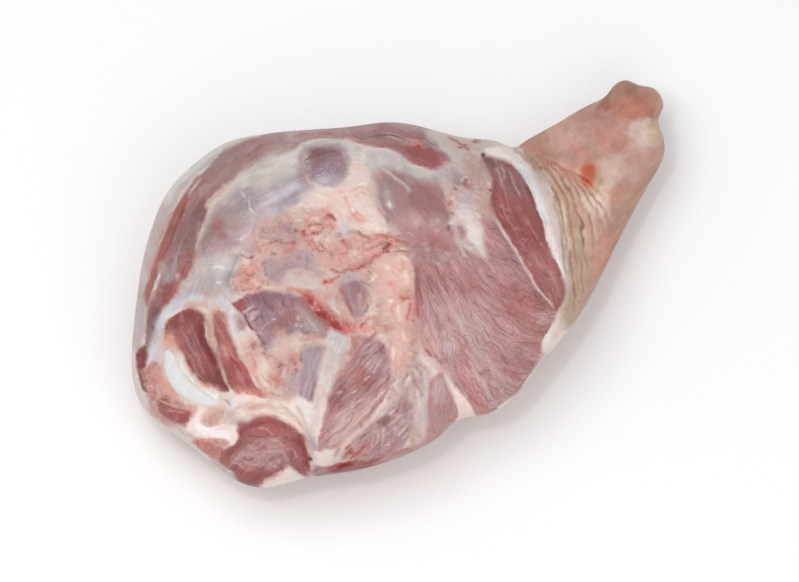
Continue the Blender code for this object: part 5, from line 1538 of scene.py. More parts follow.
def surface(x, y, depth, fine=0.0):
    """Adds the relief and presses the underside flat."""
    front = smooth_step(depth / RELIEF_EASE)
    back = smooth_step(-depth / RELIEF_EASE)
    bumps = lumps(*np.moveaxis(to_world(x, y, depth), -1, 0), LUMP_SIZE, LUMP_SEED)
    depth = depth + front * (face_relief(x, y) + FACE_LUMPS * bumps) - back * RIND_LUMPS * bumps
    depth = depth + fine * np.where(depth > 0, front, -0.5 * back)
    points = to_world(x, y, depth)
    z = points[..., 2]
    eased = np.where(z > -FLAT_BLEND, (z + FLAT_BLEND) ** 2 / (4 * FLAT_BLEND), 0)
    points[..., 2] = np.where(z >= FLAT_BLEND, z, eased)
    return points


# The paint


def from_seen(colour):
    """Seen colour in 0 to 255 as linear light."""
    c = np.asarray(colour, float) / 255
    return np.where(c <= 0.04045, c / 12.92, ((c + 0.055) / 1.055) ** 2.4)


def flow_place(name, x, y):
    """How far along and across the fibres of a flow each place lies, in plan units."""
    guide = FLOWS[name].guide
    if isinstance(guide, Fan):
        dx, dy = x - guide.centre[0], y - guide.centre[1]
        reach = np.hypot(dx, dy)
        turn = np.arctan2(dy, dx)
        bend = guide.bend * np.clip(FAN_BEND_MOST - turn / FAN_BEND_TURN, FAN_BEND_LEAST, FAN_BEND_MOST)
        return reach, (turn + bend * ((reach - guide.middle) / FAN_BEND_REACH) ** 2) * FAN_SPREAD
    path = np.array(guide, float)
    start, end = path[0] - path[1], path[-1] - path[-2]
    before = path[0] + start / np.linalg.norm(start) * FLOW_MARGIN
    after = path[-1] + end / np.linalg.norm(end) * FLOW_MARGIN
    path = np.concatenate([[before], open_spline(guide, 6), [after]])
    steps = np.linalg.norm(np.diff(path, axis=0), axis=1)
    gap, side, along = nearest_on(path, x, y)
    lengths = np.concatenate([[0], np.cumsum(steps)])
    travelled = np.interp(along * len(steps), np.arange(len(lengths)), lengths)
    return travelled, gap * side


def coarse_distance(path, x, y, reach, closed):
    """Distance to a path looked up on a coarse grid; inside a closed one it is positive."""
    low = path.min(0) - reach - COARSE_STEP
    counts = ((path.max(0) + reach + COARSE_STEP - low) / COARSE_STEP).astype(int) + 2
    ticks = [low[i] + COARSE_STEP * np.arange(counts[i]) for i in (0, 1)]
    grid_x, grid_y = np.meshgrid(*ticks, indexing="ij")
    field, _, _ = nearest_on(np.concatenate([path, path[:1]]) if closed else path, grid_x, grid_y)
    if closed:
        field = np.where(inside(path, grid_x, grid_y), field, -field)
    u = np.clip((x - low[0]) / COARSE_STEP, 0, counts[0] - 1.001)
    v = np.clip((y - low[1]) / COARSE_STEP, 0, counts[1] - 1.001)
    i, j = u.astype(int), v.astype(int)
    u, v = u - i, v - j
    return (
        (1 - u) * (1 - v) * field[i, j]
        + u * (1 - v) * field[i + 1, j]
        + (1 - u) * v * field[i, j + 1]
        + u * v * field[i + 1, j + 1]
    )


def cover(mark, points, x, y, softness):
    """Which places a mark reaches, how much of its paint they take, and how far inside they lie."""
    closed = mark.width is None
    path = closed_spline(points, 5) if closed else open_spline(points, 5)
    reach = mark.blur * SOFTEST / 2 + (mark.width or 0) / 2 + 1
    near = np.nonzero(close_to(path, x, y, reach))[0]
    within = coarse_distance(path, x[near], y[near], reach, closed)
    if closed:
        near, within = near[within > -reach], within[within > -reach]
        thin = 1.0
    else:
        near = near[within < reach + COARSE_STEP]
        gap, _, along = nearest_on(path, x[near], y[near])
        within = mark.width / 2 - gap
        thin = fade_ends(along, LINE_FADE, LINE_FADE)
    blur = mark.blur * (SHARPEST + (SOFTEST - SHARPEST) * softness[near])
    return near, smooth_step(0.5 + within / blur) * thin, within


def blended(colour, weight, seen):
    """Colours drawn towards another one as far as the weight says."""
    w = weight[..., None]
    return colour * (1 - w) + w * np.array(seen)


def changed(colour, weight, change):
    """Colours with a change added as far as the weight says."""
    return colour + weight[..., None] * np.array(change)


def pure(kind):
    return np.eye(len(KINDS))[KINDS.index(kind)]


def paint(x, y):
    """Colours, kinds of tissue, flows and fine heights over the whole joint."""
    noise = partial(flat_lumps, x, y)
    shift_x, shift_y = wander(noise, WANDERS, PAINT_SEED)
    breaks = layered(noise, BREAKS)
    softness = smooth_step(0.5 + layered(noise, SOFTNESS))
    filmed = smooth_step(FILM_START + layered(noise, FILM))
    colour = np.zeros((*x.shape, 3))
    kinds = np.zeros((*x.shape, len(KINDS)))
    height = np.zeros(x.shape)
    flows = np.zeros(x.shape, int)
    names = list(FLOWS)
    marks = [
        (mark, points)
        for mark in PAINT.values()
        for points in (mark.points if isinstance(mark.points[0], list) else [mark.points])
    ]
    for mark, points in marks:
        loose = LOOSENESS[mark.kind] * (STEADY if mark.steady else 1)
        near, weight, within = cover(mark, points, x + loose * shift_x, y + loose * shift_y, softness)
        if mark.kind == "blood" and not mark.steady:
            weight = weight * smooth_step(BLOOD_START + BLOOD_CONTRAST * breaks[near])
        colour[near] = blended(colour[near], weight, mark.colour)
        if mark.kind != "blood":
            kinds[near] = blended(kinds[near], weight, pure(mark.kind))
        if mark.kind == "muscle" and mark.rise > 0 and mark.width is None:
            film = FILM_SHARE * filmed[near] * np.exp(-((within / FILM_REACH) ** 2))
            colour[near] = blended(colour[near], film, FILM_COLOUR)
        inner = smooth_step(within / PATCH_SHOULDER) if mark.width is None else 1.0
        height[near] += mark.rise / 1000 * inner * weight
        if mark.flow:
            flows[near[weight > 0.5]] = names.index(mark.flow)
    return colour, kinds, height, flows


def underside_paint(x, y, depth, colour, kinds, flows):
    """Behind the rim the cut fat shows, and then the rind."""
    noise = partial(lumps, *np.moveaxis(to_world(x, y, depth), -1, 0))
    behind = EDGE_WANDER * layered(noise, EDGE_LAYERS) - depth
    on_shank = smooth_step((1 - nearest_on(open_spline(COLLAR), x, y)[1]) / 2)
    fat = smooth_step(0.5 + (behind - EDGE_FAT_START) / EDGE_BLUR) * (1 - on_shank)
    rind = smooth_step(0.5 + (behind - EDGE_SKIN_START) / EDGE_BLUR)
    mottle = noise(*RIND_MOTTLE)
    for weight, kind, seen in ((fat, "fat", EDGE_FAT_COLOUR), (rind, "skin", RIND_COLOUR)):
        colour = blended(colour, weight, changed(np.array(seen), mottle, RIND_MOTTLE_CHANGE))
        kinds = blended(kinds, weight, pure(kind))
    flows = np.where(rind > 0.5, list(FLOWS).index("rind"), flows)
    return colour, kinds, flows, fat, rind


def streaks(along, across, length, width, seed):
    """Noise drawn out along the fibres."""
    return lumps(along / length, across / width, np.zeros(along.shape), 1, seed)


def mottled(x, y, colour, kinds, along, across, strength):
    """Uneven colour inside each tissue: fibres, flecks of fat, and slow changes of tone."""
    muscle, fat, skin, silver, torn = (kinds[..., i] for i in range(5))
    fat = fat + 0.3 * torn
    bundled = muscle * (0.3 + 0.7 * strength)
    slow, patchy, small, tiny = (flat_lumps(x, y, *noise) for noise in (SLOW, PATCHY, SMALL, TINY))
    bend = FIBRE_BEND * flat_lumps(x, y, *BEND_NOISE)
    fibre = 0.55 * streaks(along, across + bend, *COARSE_FIBRE)
    fibre += 0.45 * streaks(along, across + 0.6 * bend, *FINE_FIBRE)
    marbling = streaks(along, across + bend, *MARBLE_FIBRE)
    colour = colour * (1 + 0.035 * slow + 0.03 * patchy + 0.025 * small)[..., None]
    for weight, change in (
        (bundled * np.clip(fibre, 0, 1), PALE_FIBRE),
        (bundled * np.clip(-fibre, 0, 1), DARK_FIBRE),
        (fat * np.clip(patchy + 0.5 * small, 0, 1), FAT_FLUSH),
        (fat * np.clip(-patchy - 0.3 * small, 0, 1), FAT_CREAM),
    ):
        colour = changed(colour, weight, change)
    for weight, spots, start, soft, seen in (
        (0.34 * torn, patchy + 0.8 * small, 0.25, 0.5, TORN_ROSE),
        (0.42 * torn, -patchy + 0.8 * tiny, 0.25, 0.5, TORN_CREAM),
        (0.38 * torn, slow + 0.9 * small - 0.4 * patchy, 0.25, 0.5, TORN_LILAC),
        (0.14 * torn, tiny - 0.6 * small, 0.25, 0.5, TORN_RED),
        (0.28 * bundled, marbling, 0.40, 0.30, MARBLE_COLOUR),
        (0.32 * bundled, 0.3 * small - marbling, 0.45, 0.35, DEEP_COLOUR),
    ):
        colour = blended(colour, weight * smooth_step((spots - start) / soft), seen)
    for weight, change in (
        (muscle * flat_lumps(x, y, *DRIFT_NOISE), DRIFT_CHANGE),
        (silver * streaks(along, across, *SILVER_FIBRE), SILVER_STREAK),
        (silver * (slow + patchy), SILVER_CLOUD),
        (skin * (0.7 * patchy + 0.5 * small + 0.5 * slow), SKIN_BLOTCH),
    ):
        colour = changed(colour, weight, change)
    return np.clip(colour, 0, 255), fibre


def fine_height(x, y, kinds, fibre):
    """Fibres, lobes of fat and creases of skin, in metres."""
    muscle, fat, skin, _, torn = (kinds[..., i] for i in range(5))
    lobes = layered(lambda size, seed: 1 - 2 * np.abs(flat_lumps(x, y, size, seed)), LOBE_LAYERS)
    creases = flat_lumps(x * CREASE_STRETCH, y, *CREASE_NOISE)
    return (
        FIBRE_RELIEF * muscle * fibre
        + (FAT_RELIEF * fat + TORN_RELIEF * torn) * lobes
        + SKIN_RELIEF * skin * creases
    )


def fold_shade(x, y):
    """Painted shade in the creases of the shank's skin, and painted light on the ridges between them."""
    dark = np.zeros(x.shape)
    moved = wobbled(x, y)
    for path, fold_depth in FOLDS:
        near, gap, along = near_line(open_spline(path, FOLD_SAMPLES), x, y, moved, SHADE_REACH)
        uneven = 0.75 + 0.6 * flat_lumps(x[near], y[near], *SHADE_NOISE)
        strength = fade_ends(along, *FOLD_FADES) * uneven * fold_depth / SHADE_FULL_DEPTH
        ridge = RIDGE_SHARE * np.exp(-(((gap - RIDGE_PLACE) / RIDGE_WIDTH) ** 2))
        dark[near] += strength * (np.exp(-((gap / CREASE_WIDTH) ** 2)) - ridge)
    return dark


# Meshes and materials


Skin = namedtuple("Skin", "points normals tint kinds style flows x y fall")


def whole_skin():
    """Every point of the joint's skin, ring by ring, with its paint."""
    rings = [spread(*section(s)) for s in stations(RINGS)]
    ends = [section(s) for s in (0.0, 1.0)]
    x, y, depth = (
        np.concatenate([*(ring[i] for ring in rings), [end[i].mean() for end in ends]]) for i in range(3)
    )
    axes = np.moveaxis(to_world(x, y, depth), -1, 0)
    wall = smooth_step((WALL_TOP - depth) / (WALL_TOP - WALL_FULL))
    fall = np.clip(WALL_TOP - depth, 0, None) / UNIT
    shift_x, shift_y = wander(partial(lumps, *axes), WALL_WANDERS, WALL_SEED)
    seen_x, seen_y = x + wall * shift_x, y + wall * shift_y
    colour, kinds, rise, flows = paint(seen_x, seen_y)
    colour, kinds, flows, fat_edge, rind = underside_paint(x, y, depth, colour, kinds, flows)
    along, across = np.zeros(x.shape), np.zeros(x.shape)
    for number, name in enumerate(FLOWS):
        here = flows == number
        along[here], across[here] = flow_place(name, seen_x[here], seen_y[here])
    strengths = np.array([(flow.lines, flow.network, flow.specks) for flow in FLOWS.values()])[flows]
    lower_y = seen_y + fall
    colour, fibre = mottled(seen_x, lower_y, colour, kinds, along, across + fall, strengths.max(1))
    # Painted shade in the skin's fold creases and painted light on their ridges
    on_skin = kinds[..., KINDS.index("skin")] * (1 - rind)
    colour = changed(colour, on_skin * fold_shade(x, y), SHADE_COLOUR)
    fine = rise * (1 - rind) * (1 - fat_edge) + fine_height(seen_x, lower_y, kinds, fibre)
    points = surface(x, y, depth, fine)
    points += centring(points)
    tint = np.concatenate([from_seen(np.clip(colour, 0, 255)), np.ones((len(x), 1))], 1)
    torn = kinds[:, KINDS.index("torn")]
    kind = kinds[:, :4].copy()
    kind[:, KINDS.index("fat")] += torn
    style = np.stack([strengths[:, 0], strengths[:, 1], torn, strengths[:, 2]], 1)
    return Skin(points, None, tint, kind, style, flows, seen_x, seen_y, fall)


def skin_faces():
    """Quads of the rings and the two fans that close them, as corner lists with a piece each."""
    per_ring = FACE_POINTS + BACK_POINTS
    body = np.arange(RINGS * per_ring).reshape(RINGS, per_ring)
    following = np.roll(body, -1, 1)
    quads = np.stack([body[:-1], following[:-1], following[1:], body[1:]], -1)
    column = np.arange(per_ring)
    row = np.arange(RINGS - 1)[:, None]
    piece = np.digitize(row, PIECE_RINGS) + np.zeros(per_ring, int)
    piece = np.where(column >= FACE_POINTS, len(PIECE_RINGS) + 1, piece)
    blade_point, tip_point = RINGS * per_ring, RINGS * per_ring + 1
    blade_fan = np.stack([following[0], body[0], np.full(per_ring, blade_point)], -1)
    tip_fan = np.stack([body[-1], following[-1], np.full(per_ring, tip_point)], -1)
    fans = np.concatenate([blade_fan, tip_fan])
    return quads.reshape(-1, 4), piece.ravel(), fans, np.concatenate([piece[0], piece[-1]])


def vertex_normals(points, quads, fans):
    normals = np.zeros(points.shape)
    for faces, last in ((quads, 3), (fans, 2)):
        a, b, c = points[faces[:, 0]], points[faces[:, 1]], points[faces[:, last]]
        across = np.cross(b - a, c - a)
        for corner in range(faces.shape[1]):
            np.add.at(normals, faces[:, corner], across)
    return normals / np.maximum(np.linalg.norm(normals, axis=1), 1e-12)[:, None]


def skin_piece(name, skin, quads, fans):
    """One part of the skin as a mesh, with its paint and the way its fibres run."""
    used, numbers = np.unique(np.concatenate([quads.ravel(), fans.ravel()]), return_inverse=True)
    quad_part = numbers[: quads.size].reshape(-1, 4)
    fan_part = numbers[quads.size :].reshape(-1, 3)
    mesh = bpy.data.meshes.new(name)
    mesh.from_pydata(skin.points[used].tolist(), [], quad_part.tolist() + fan_part.tolist())
    mesh.update()
    mesh.shade_smooth()
    for key, values in (("tint", skin.tint), ("kind", skin.kinds), ("style", skin.style)):
        data = mesh.attributes.new(key, "FLOAT_COLOR", "POINT").data
        data.foreach_set("color", values[used].ravel())
    corners = np.concatenate([quads.ravel(), fans.ravel()])
    face_flow = np.concatenate([np.repeat(skin.flows[quads[:, 0]], 4), np.repeat(skin.flows[fans[:, 0]], 3)])
    grain = np.zeros((len(corners), 3))
    for number, (flow_name, flow) in enumerate(FLOWS.items()):
        here = face_flow == number
        if here.any():
            along, across = flow_place(flow_name, skin.x[corners[here]], skin.y[corners[here]])
            grain[here, 0] = along * flow.shorten * MILLIMETRES
            grain[here, 1] = (across + skin.fall[corners[here]]) * MILLIMETRES
            grain[here, 2] = FLOW_LAYER * number
    mesh.attributes.new("grain", "FLOAT_VECTOR", "CORNER").data.foreach_set("vector", grain.ravel())
    mesh.normals_split_custom_set_from_vertices(skin.normals[used].tolist())
    return mesh


class Nodes:
    """Short calls for building one material's nodes."""

    def __init__(self, name):
        self.material = bpy.data.materials.new(name)
        self.material.use_nodes = True
        self.tree = self.material.node_tree
        self.shader = self.tree.nodes["Principled BSDF"]

    def link(self, value, socket):
        if isinstance(value, bpy.types.NodeSocket):
            self.tree.links.new(value, socket)
        else:
            socket.default_value = value

    def attribute(self, name, output="Vector"):
        node = self.tree.nodes.new("ShaderNodeAttribute")
        node.attribute_name = name
        return node.outputs[output]

    def place(self):
        return self.tree.nodes.new("ShaderNodeTexCoord").outputs["Object"]

    def stretch(self, vector, scale):
        node = self.tree.nodes.new("ShaderNodeMapping")
        self.link(vector, node.inputs["Vector"])
        node.inputs["Scale"].default_value = scale
        return node.outputs["Vector"]

    def moved(self, vector, across):
        """A place moved across the fibres."""
        step = self.tree.nodes.new("ShaderNodeCombineXYZ")
        self.link(across, step.inputs["Y"])
        node = self.tree.nodes.new("ShaderNodeVectorMath")
        self.link(vector, node.inputs[0])
        self.link(step.outputs["Vector"], node.inputs[1])
        return node.outputs["Vector"]

    def noise(self, vector, scale=1.0, detail=3.0, roughness=0.55, distortion=0.0):
        node = self.tree.nodes.new("ShaderNodeTexNoise")
        self.link(vector, node.inputs["Vector"])
        for key, value in (
            ("Scale", scale), ("Detail", detail), ("Roughness", roughness), ("Distortion", distortion),
        ):
            node.inputs[key].default_value = value
        return node.outputs["Fac"]

    def cells(self, vector, scale, feature="SMOOTH_F1", smoothness=0.6):
        node = self.tree.nodes.new("ShaderNodeTexVoronoi")
        node.feature = feature
        self.link(vector, node.inputs["Vector"])
        node.inputs["Scale"].default_value = scale
        if feature == "SMOOTH_F1":
            node.inputs["Smoothness"].default_value = smoothness
        return node.outputs["Distance"]

    def math(self, operation, a, b=0.0, clamp=False):
        node = self.tree.nodes.new("ShaderNodeMath")
        node.operation = operation
        node.use_clamp = clamp
        self.link(a, node.inputs[0])
        self.link(b, node.inputs[1])
        return node.outputs["Value"]

    def ramp(self, value, low, high, from_low=0.0, from_high=1.0):
        node = self.tree.nodes.new("ShaderNodeMapRange")
        node.clamp = True
        self.link(value, node.inputs["Value"])
        node.inputs["From Min"].default_value = from_low
        node.inputs["From Max"].default_value = from_high
        node.inputs["To Min"].default_value = low
        node.inputs["To Max"].default_value = high
        return node.outputs["Result"]

    def mix(self, factor, a, b, blend="MIX"):
        node = self.tree.nodes.new("ShaderNodeMix")
        node.data_type = "RGBA"
        node.blend_type = blend
        self.link(factor, node.inputs["Factor"])
        self.link(a, node.inputs[6])
        self.link(b, node.inputs[7])
        return node.outputs[2]

    def contour(self, value, width, level=0.5):
        """Bright where a noise passes a level, so that it draws thin winding lines."""
        node = self.tree.nodes.new("ShaderNodeMapRange")
        node.interpolation_type = "SMOOTHSTEP"
        distance = self.math("ABSOLUTE", self.math("SUBTRACT", value, level))
        self.link(distance, node.inputs["Value"])
        for key, number in (("From Min", 0.0), ("From Max", width), ("To Min", 1.0), ("To Max", 0.0)):
            node.inputs[key].default_value = number
        return node.outputs["Result"]

    def product(self, *values):
        total = values[0]
        for value in values[1:]:
            total = self.math("MULTIPLY", total, value)
        return total

    def total(self, *values):
        total = values[0]
        for value in values[1:]:
            total = self.math("ADD", total, value)
        return total

    def split(self, colour):
        node = self.tree.nodes.new("ShaderNodeSeparateColor")
        self.link(colour, node.inputs["Color"])
        return node.outputs["Red"], node.outputs["Green"], node.outputs["Blue"]

    def bump(self, height, distance, strength):
        node = self.tree.nodes.new("ShaderNodeBump")
        self.link(height, node.inputs["Height"])
        node.inputs["Distance"].default_value = distance
        node.inputs["Strength"].default_value = strength
        return node.outputs["Normal"]

    def finish(self, sockets):
        """Links or sets sockets of the shader, and gives back the material."""
        for name, value in sockets.items():
            self.link(value, self.shader.inputs[name])
        return self.material


def meat_material():
    """Muscle, fat, silverskin and skin in one, told apart by the mesh's kinds."""
    n = Nodes("raw_meat_skin")
    tint = n.attribute("tint", "Color")
    muscle, fat, skin = n.split(n.attribute("kind", "Color"))
    silver = n.attribute("kind", "Alpha")
    lines, network, torn = n.split(n.attribute("style", "Color"))
    specks = n.attribute("style", "Alpha")
    grain = n.attribute("grain")
    place = n.place()
    sway = n.math("SUBTRACT", n.noise(n.stretch(grain, (0.10, 0.05, 1)), 1.0, 2.0, 0.5), 0.5)
    grain = n.moved(grain, n.math("MULTIPLY", sway, 7.0))

    # Patterns: threads and bundles of muscle, crinkles between them, lobes of fat, creases of skin
    threads = n.noise(n.stretch(grain, (0.11, 1.25, 1)), 1.0, 3.0, 0.6, 0.3)
    bundles = n.noise(n.stretch(grain, (0.034, 0.24, 1)), 1.0, 1.0, 0.4, 0.5)
    crinkle = n.noise(n.stretch(grain, (0.30, 0.62, 1)), 1.0, 2.0, 0.5, 0.5)
    dark_line = n.product(muscle, lines, n.contour(bundles, 0.026))
    pale_line = n.product(muscle, network, n.contour(crinkle, 0.045))
    grains = n.noise(n.stretch(grain, (0.26, 0.95, 1)), 1.0, 3.0, 0.65, 0.4)
    dark_speck = n.product(muscle, specks, n.ramp(grains, 1.0, 0.0, 0.34, 0.48))
    pale_speck = n.product(muscle, specks, n.ramp(grains, 0.0, 1.0, 0.54, 0.67))
    lobes = n.cells(place, 300)
    gaps = n.product(fat, n.ramp(lobes, 0.0, 1.0, 0.42, 0.78))
    crumbs = n.noise(place, 900, 3.0, 0.6)
    grit = n.noise(place, 2100, 2.0, 0.6)
    veins = n.product(torn, n.contour(n.noise(place, 120, 3.0, 0.6, 1.2), 0.016))
    strands = n.product(fat, n.contour(n.noise(place, 150, 3.0, 0.55, 1.0), 0.022))
    sinews = n.product(torn, n.contour(n.noise(place, 230, 4.0, 0.65, 1.6), 0.030))
    shreds = n.product(torn, n.contour(n.noise(place, 310, 4.0, 0.65, 1.2), 0.024, 0.46))
    clouding = n.ramp(n.noise(place, 260, 4.0, 0.65, 0.8), 0.93, 1.12, 0.32, 0.68)
    pores = n.cells(place, 900, "F1")
    creases = n.noise(n.stretch(grain, (0.12, 0.9, 1)), 1.0, 3.0, 0.6, 0.5)
    sheets = n.noise(n.stretch(grain, (0.14, 0.35, 1)), 1.0, 4.0, 0.62, 0.8)
    film = n.product(silver, n.contour(sheets, 0.026))

    # Colour
    fibrous = n.mix(n.math("ADD", network, 0.25, True), (1, 1, 1, 1), n.ramp(threads, 0.82, 1.14, 0.34, 0.66))
    tone = n.mix(muscle, n.ramp(crumbs, 0.95, 1.05, 0.3, 0.7), fibrous)
    tone = n.mix(skin, tone, n.ramp(creases, 0.93, 1.06, 0.3, 0.7))
    colour = n.mix(1.0, tint, tone, "MULTIPLY")
    colour = n.mix(1.0, colour, n.ramp(grit, 0.90, 1.09, 0.3, 0.7), "MULTIPLY")
    for mask, share, change in (
        (pale_line, 0.55, (1.28, 1.52, 1.50, 1)),
        (dark_line, 0.72, (0.66, 0.50, 0.50, 1)),
        (dark_speck, 0.75, (0.68, 0.50, 0.50, 1)),
        (pale_speck, 0.65, (1.26, 1.46, 1.44, 1)),
        (gaps, n.ramp(torn, 0.10, 0.30), (0.82, 0.62, 0.58, 1)),
        (torn, 0.9, clouding),
        (shreds, 0.50, (0.88, 0.62, 0.58, 1)),
    ):
        colour = n.mix(n.product(mask, share), colour, change, "MULTIPLY")
    for mask, share, seen in (
        (veins, 0.34, (0.48, 0.13, 0.10, 1)),
        (sinews, 0.36, (0.84, 0.66, 0.60, 1)),
        (strands, n.ramp(torn, 0.10, 0.34), (0.82, 0.66, 0.60, 1)),
        (film, 0.42, (0.76, 0.71, 0.71, 1)),
    ):
        colour = n.mix(n.product(mask, share), colour, seen)

    # Relief
    height = n.total(
        n.product(muscle, threads, 0.55),
        n.product(pale_line, 0.16),
        n.product(dark_line, -0.30),
        n.product(fat, lobes, -0.55),
        n.product(torn, crumbs, 0.50),
        n.product(sinews, 0.10),
        n.product(shreds, -0.10),
        n.product(skin, creases, 0.40),
        n.product(skin, pores, 0.12),
        n.product(film, 0.10),
        n.product(crumbs, 0.14),
    )

    # Moisture
    wet = n.ramp(n.noise(place, 70, 3.0, 0.6), 0.34, 0.56, 0.35, 0.65)
    return n.finish({
        "Base Color": colour,
        "Normal": n.bump(height, 0.0012, 0.8),
        "Roughness": n.total(wet, n.product(skin, 0.12), n.product(torn, -0.06)),
        "Specular IOR Level": 0.36,
        "Coat Weight": 0.06,
        "Coat Roughness": 0.16,
        "Subsurface Weight": 0.08,
        "Subsurface Radius": (1.0, 0.35, 0.25),
        "Subsurface Scale": 0.002,
    })


def bone_material():
    """Wet blue-white bone and gristle, warmer towards its edges."""
    n = Nodes("blade_bone_gristle")
    place = n.place()
    cloud = n.noise(place, 120, 3.0, 0.55)
    tone = n.ramp(cloud, 0.94, 1.04, 0.3, 0.7)
    return n.finish({
        "Base Color": n.mix(1.0, n.attribute("tint", "Color"), tone, "MULTIPLY"),
        "Roughness": n.ramp(cloud, 0.42, 0.58, 0.3, 0.7),
        "Normal": n.bump(n.noise(place, 400, 4.0, 0.6), 0.0008, 0.7),
        "Specular IOR Level": 0.35,
        "Coat Weight": 0.06,
        "Coat Roughness": 0.2,
        "Subsurface Weight": 0.2,
        "Subsurface Radius": (1.0, 0.8, 0.7),
        "Subsurface Scale": 0.003,
    })


def floor_material():
    n = Nodes("pale_floor")
    soft = n.noise(n.place(), 3.0, 2.0)
    return n.finish({
        "Base Color": n.mix(soft, (0.92, 0.92, 0.92, 1), (0.90, 0.90, 0.90, 1)),
        "Roughness": 0.9,
        "Specular IOR Level": 0.1,
    })


def add_object(name, data):
    obj = bpy.data.objects.new(name, data)
    bpy.context.scene.collection.objects.link(obj)
    return obj


def centring(points):
    """The move that puts the middle of the joint over the origin."""
    low, high = points.min(0), points.max(0)
    return -np.array([(low[0] + high[0]) / 2, (low[1] + high[1]) / 2, 0])


def face_depth(x, y):
    """Distance of the plain face in front of the plan at a place."""
    along = x * math.cos(LONG_AXIS) - y * math.sin(LONG_AXIS)
    across = -x * math.sin(LONG_AXIS) - y * math.cos(LONG_AXIS)
    ring_x, ring_y, ring_depth = section((along - FIRST) / (LAST - FIRST))
    ring_across = -ring_x * math.sin(LONG_AXIS) - ring_y * math.cos(LONG_AXIS)
    face = (SECTION_ANGLES >= 0) & (SECTION_ANGLES <= math.pi)
    return np.interp(-across, -ring_across[face], ring_depth[face])


def face_point(x, y):
    return surface(np.array([x]), np.array([y]), np.array([face_depth(x, y)]))[0]


def unit(vectors):
    return vectors / np.linalg.norm(vectors, axis=1)[:, None]


def bone_mesh(shift):
    """The smooth arc of the blade's end, an oval bar that thins towards its tips."""
    line_points = open_spline(BONE_LINE, 8)
    centres = np.array([face_point(x, y) for x, y in line_points]) + shift
    run = unit(np.gradient(centres, axis=0))
    far = BONE_SLOPE_REACH
    up_step = np.array([face_point(x, y - far) - face_point(x, y + far) for x, y in line_points])
    right_step = np.array([face_point(x + far, y) - face_point(x - far, y) for x, y in line_points])
    side = unit(np.cross(run, unit(np.cross(right_step, up_step))))
    out = np.cross(side, run)
    share = np.linspace(0, 1, len(centres))
    taper = np.clip(1 - np.abs(2 * (share - BONE_THICKEST)) ** 2.4, BONE_THINNEST, 1) ** 0.6
    around = np.linspace(0, 2 * math.pi, BONE_AROUND, endpoint=False)
    rings = []
    for c, o, s, t in zip(centres, out, side, taper):
        middle = c - o * (BONE_SUNK + (1 - t) * BONE_HALF_HEIGHT * BONE_TIP_SUNK)
        wide, high = BONE_HALF_WIDTH * t, BONE_HALF_HEIGHT * (0.5 + 0.5 * t)
        rings.append([middle + s * math.cos(a) * wide + o * math.sin(a) * high for a in around])
    points = np.array(rings).reshape(-1, 3)
    numbers = np.arange(len(points)).reshape(len(rings), BONE_AROUND)
    following = np.roll(numbers, -1, 1)
    quads = np.stack([numbers[:-1], following[:-1], following[1:], numbers[1:]], -1).reshape(-1, 4)
    faces = [*quads.tolist(), numbers[0, ::-1].tolist(), numbers[-1].tolist()]
    mesh = bpy.data.meshes.new("blade_bone_end")
    mesh.from_pydata(points.tolist(), [], faces)
    height = np.tile(np.sin(around), len(rings))
    mixing = smooth_step((height - BONE_WHITE_START) / BONE_WHITE_CHANGE)
    seen = blended(np.array(BONE_WARM), mixing, BONE_WHITE)
    tint = mesh.attributes.new("tint", "FLOAT_COLOR", "POINT")
    tint.data.foreach_set("color", np.concatenate([from_seen(seen), np.ones((len(points), 1))], 1).ravel())
    mesh.update()
    return mesh


def build_joint():
    skin = whole_skin()
    quads, quad_piece, fans, fan_piece = skin_faces()
    skin = skin._replace(normals=vertex_normals(skin.points, quads, fans))
    material = meat_material()
    for number, name in enumerate(PIECE_NAMES):
        mesh = skin_piece(name, skin, quads[quad_piece == number], fans[fan_piece == number])
        mesh.materials.append(material)
        piece = add_object(name, mesh)
        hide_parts("pork_shoulder")
        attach(piece, "root")

    loops = [section(s) for s in stations(CENTRING_RINGS)]
    shift = centring(surface(*(np.concatenate(v) for v in zip(*loops))))
    bone = bone_mesh(shift)
    bone.materials.append(bone_material())
    bone.shade_smooth()
    blade = add_object("blade_bone_end", bone)
    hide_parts("blade_bone")
    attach(blade, "root")
    return shift


# Floor, light and camera

CAMERA_LENS = 540.0
CAMERA_SENSOR = 36.0
CAMERA_FOCUS_PLANE = 0.040
IMAGE_WIDTH, IMAGE_HEIGHT = 799, 582
FLOOR_REACH = 40
SKY_COLOUR, SKY_STRENGTH = (0.97, 0.98, 1.0, 1), 0.66

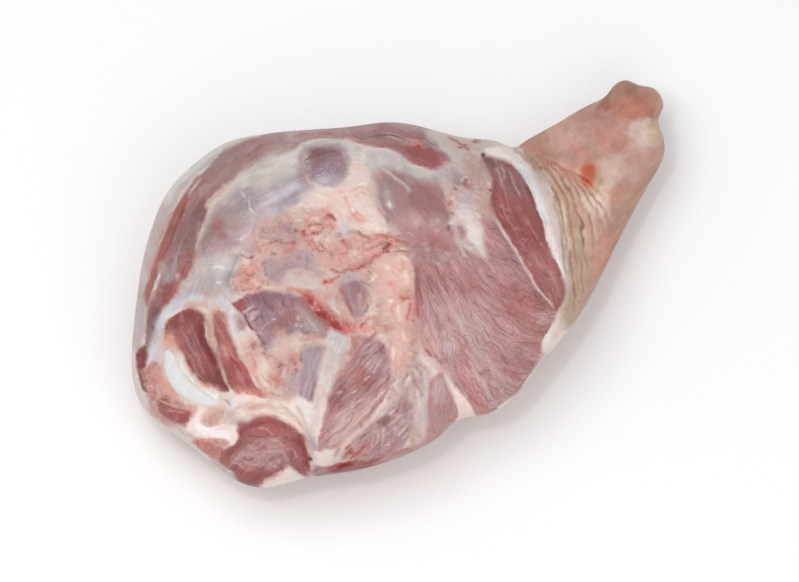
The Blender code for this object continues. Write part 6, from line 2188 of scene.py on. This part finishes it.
# Each lamp's place, width in metres and power in watts
LAMPS = {
    "key": ((-0.60, -0.10, 1.95), 1.6, 14),
    "fill": ((0.55, -1.45, 1.5), 1.8, 9),
    "glint": ((-0.25, -0.55, 1.7), 0.12, 2.5),
}


def build_stage():
    floor = bpy.data.meshes.new("floor")
    corners = [(FLOOR_REACH * i, FLOOR_REACH * j, 0) for i, j in ((-1, -1), (1, -1), (1, 1), (-1, 1))]
    floor.from_pydata(corners, [], [(0, 1, 2, 3)])
    floor.materials.append(floor_material())
    add_object("floor", floor)

    world = bpy.data.worlds.new("studio")
    world.use_nodes = True
    background = world.node_tree.nodes["Background"]
    background.inputs["Color"].default_value = SKY_COLOUR
    background.inputs["Strength"].default_value = SKY_STRENGTH
    bpy.context.scene.world = world

    for name, (place, size, power) in LAMPS.items():
        lamp = bpy.data.lights.new(name, "AREA")
        lamp.shape = "DISK"
        lamp.size = size
        lamp.energy = power
        obj = add_object(name, lamp)
        obj.location = place
        obj.rotation_euler = Vector(place).to_track_quat("Z", "Y").to_euler()
        obj.visible_camera = False


def build_camera(shift):
    """Looks straight at the plan, so that one plan unit is one pixel of the photograph."""
    lens = bpy.data.cameras.new("camera")
    lens.sensor_width = CAMERA_SENSOR
    lens.lens = CAMERA_LENS
    camera = add_object("camera", lens)
    back = Vector((0, -math.cos(FACE_ELEVATION), math.sin(FACE_ELEVATION)))
    right = Vector((1, 0, 0))
    up = back.cross(right)
    aim = np.array([(IMAGE_WIDTH / 2 - PLAN_CENTRE[0]) * UNIT, (PLAN_CENTRE[1] - IMAGE_HEIGHT / 2) * UNIT])
    level = Vector((shift[0], shift[1], 0.0))
    centre = level + right * aim[0] + up * aim[1] + back * CAMERA_FOCUS_PLANE
    distance = IMAGE_WIDTH * UNIT * CAMERA_LENS / CAMERA_SENSOR
    camera.location = centre + back * distance
    camera.rotation_mode = "QUATERNION"
    camera.rotation_quaternion = back.to_track_quat("Z", "Y")
    bpy.context.scene.camera = camera


def main():
    shift = build_joint()
    build_stage()
    build_camera(shift)
    bpy.context.scene.view_settings.view_transform = "Standard"


main()
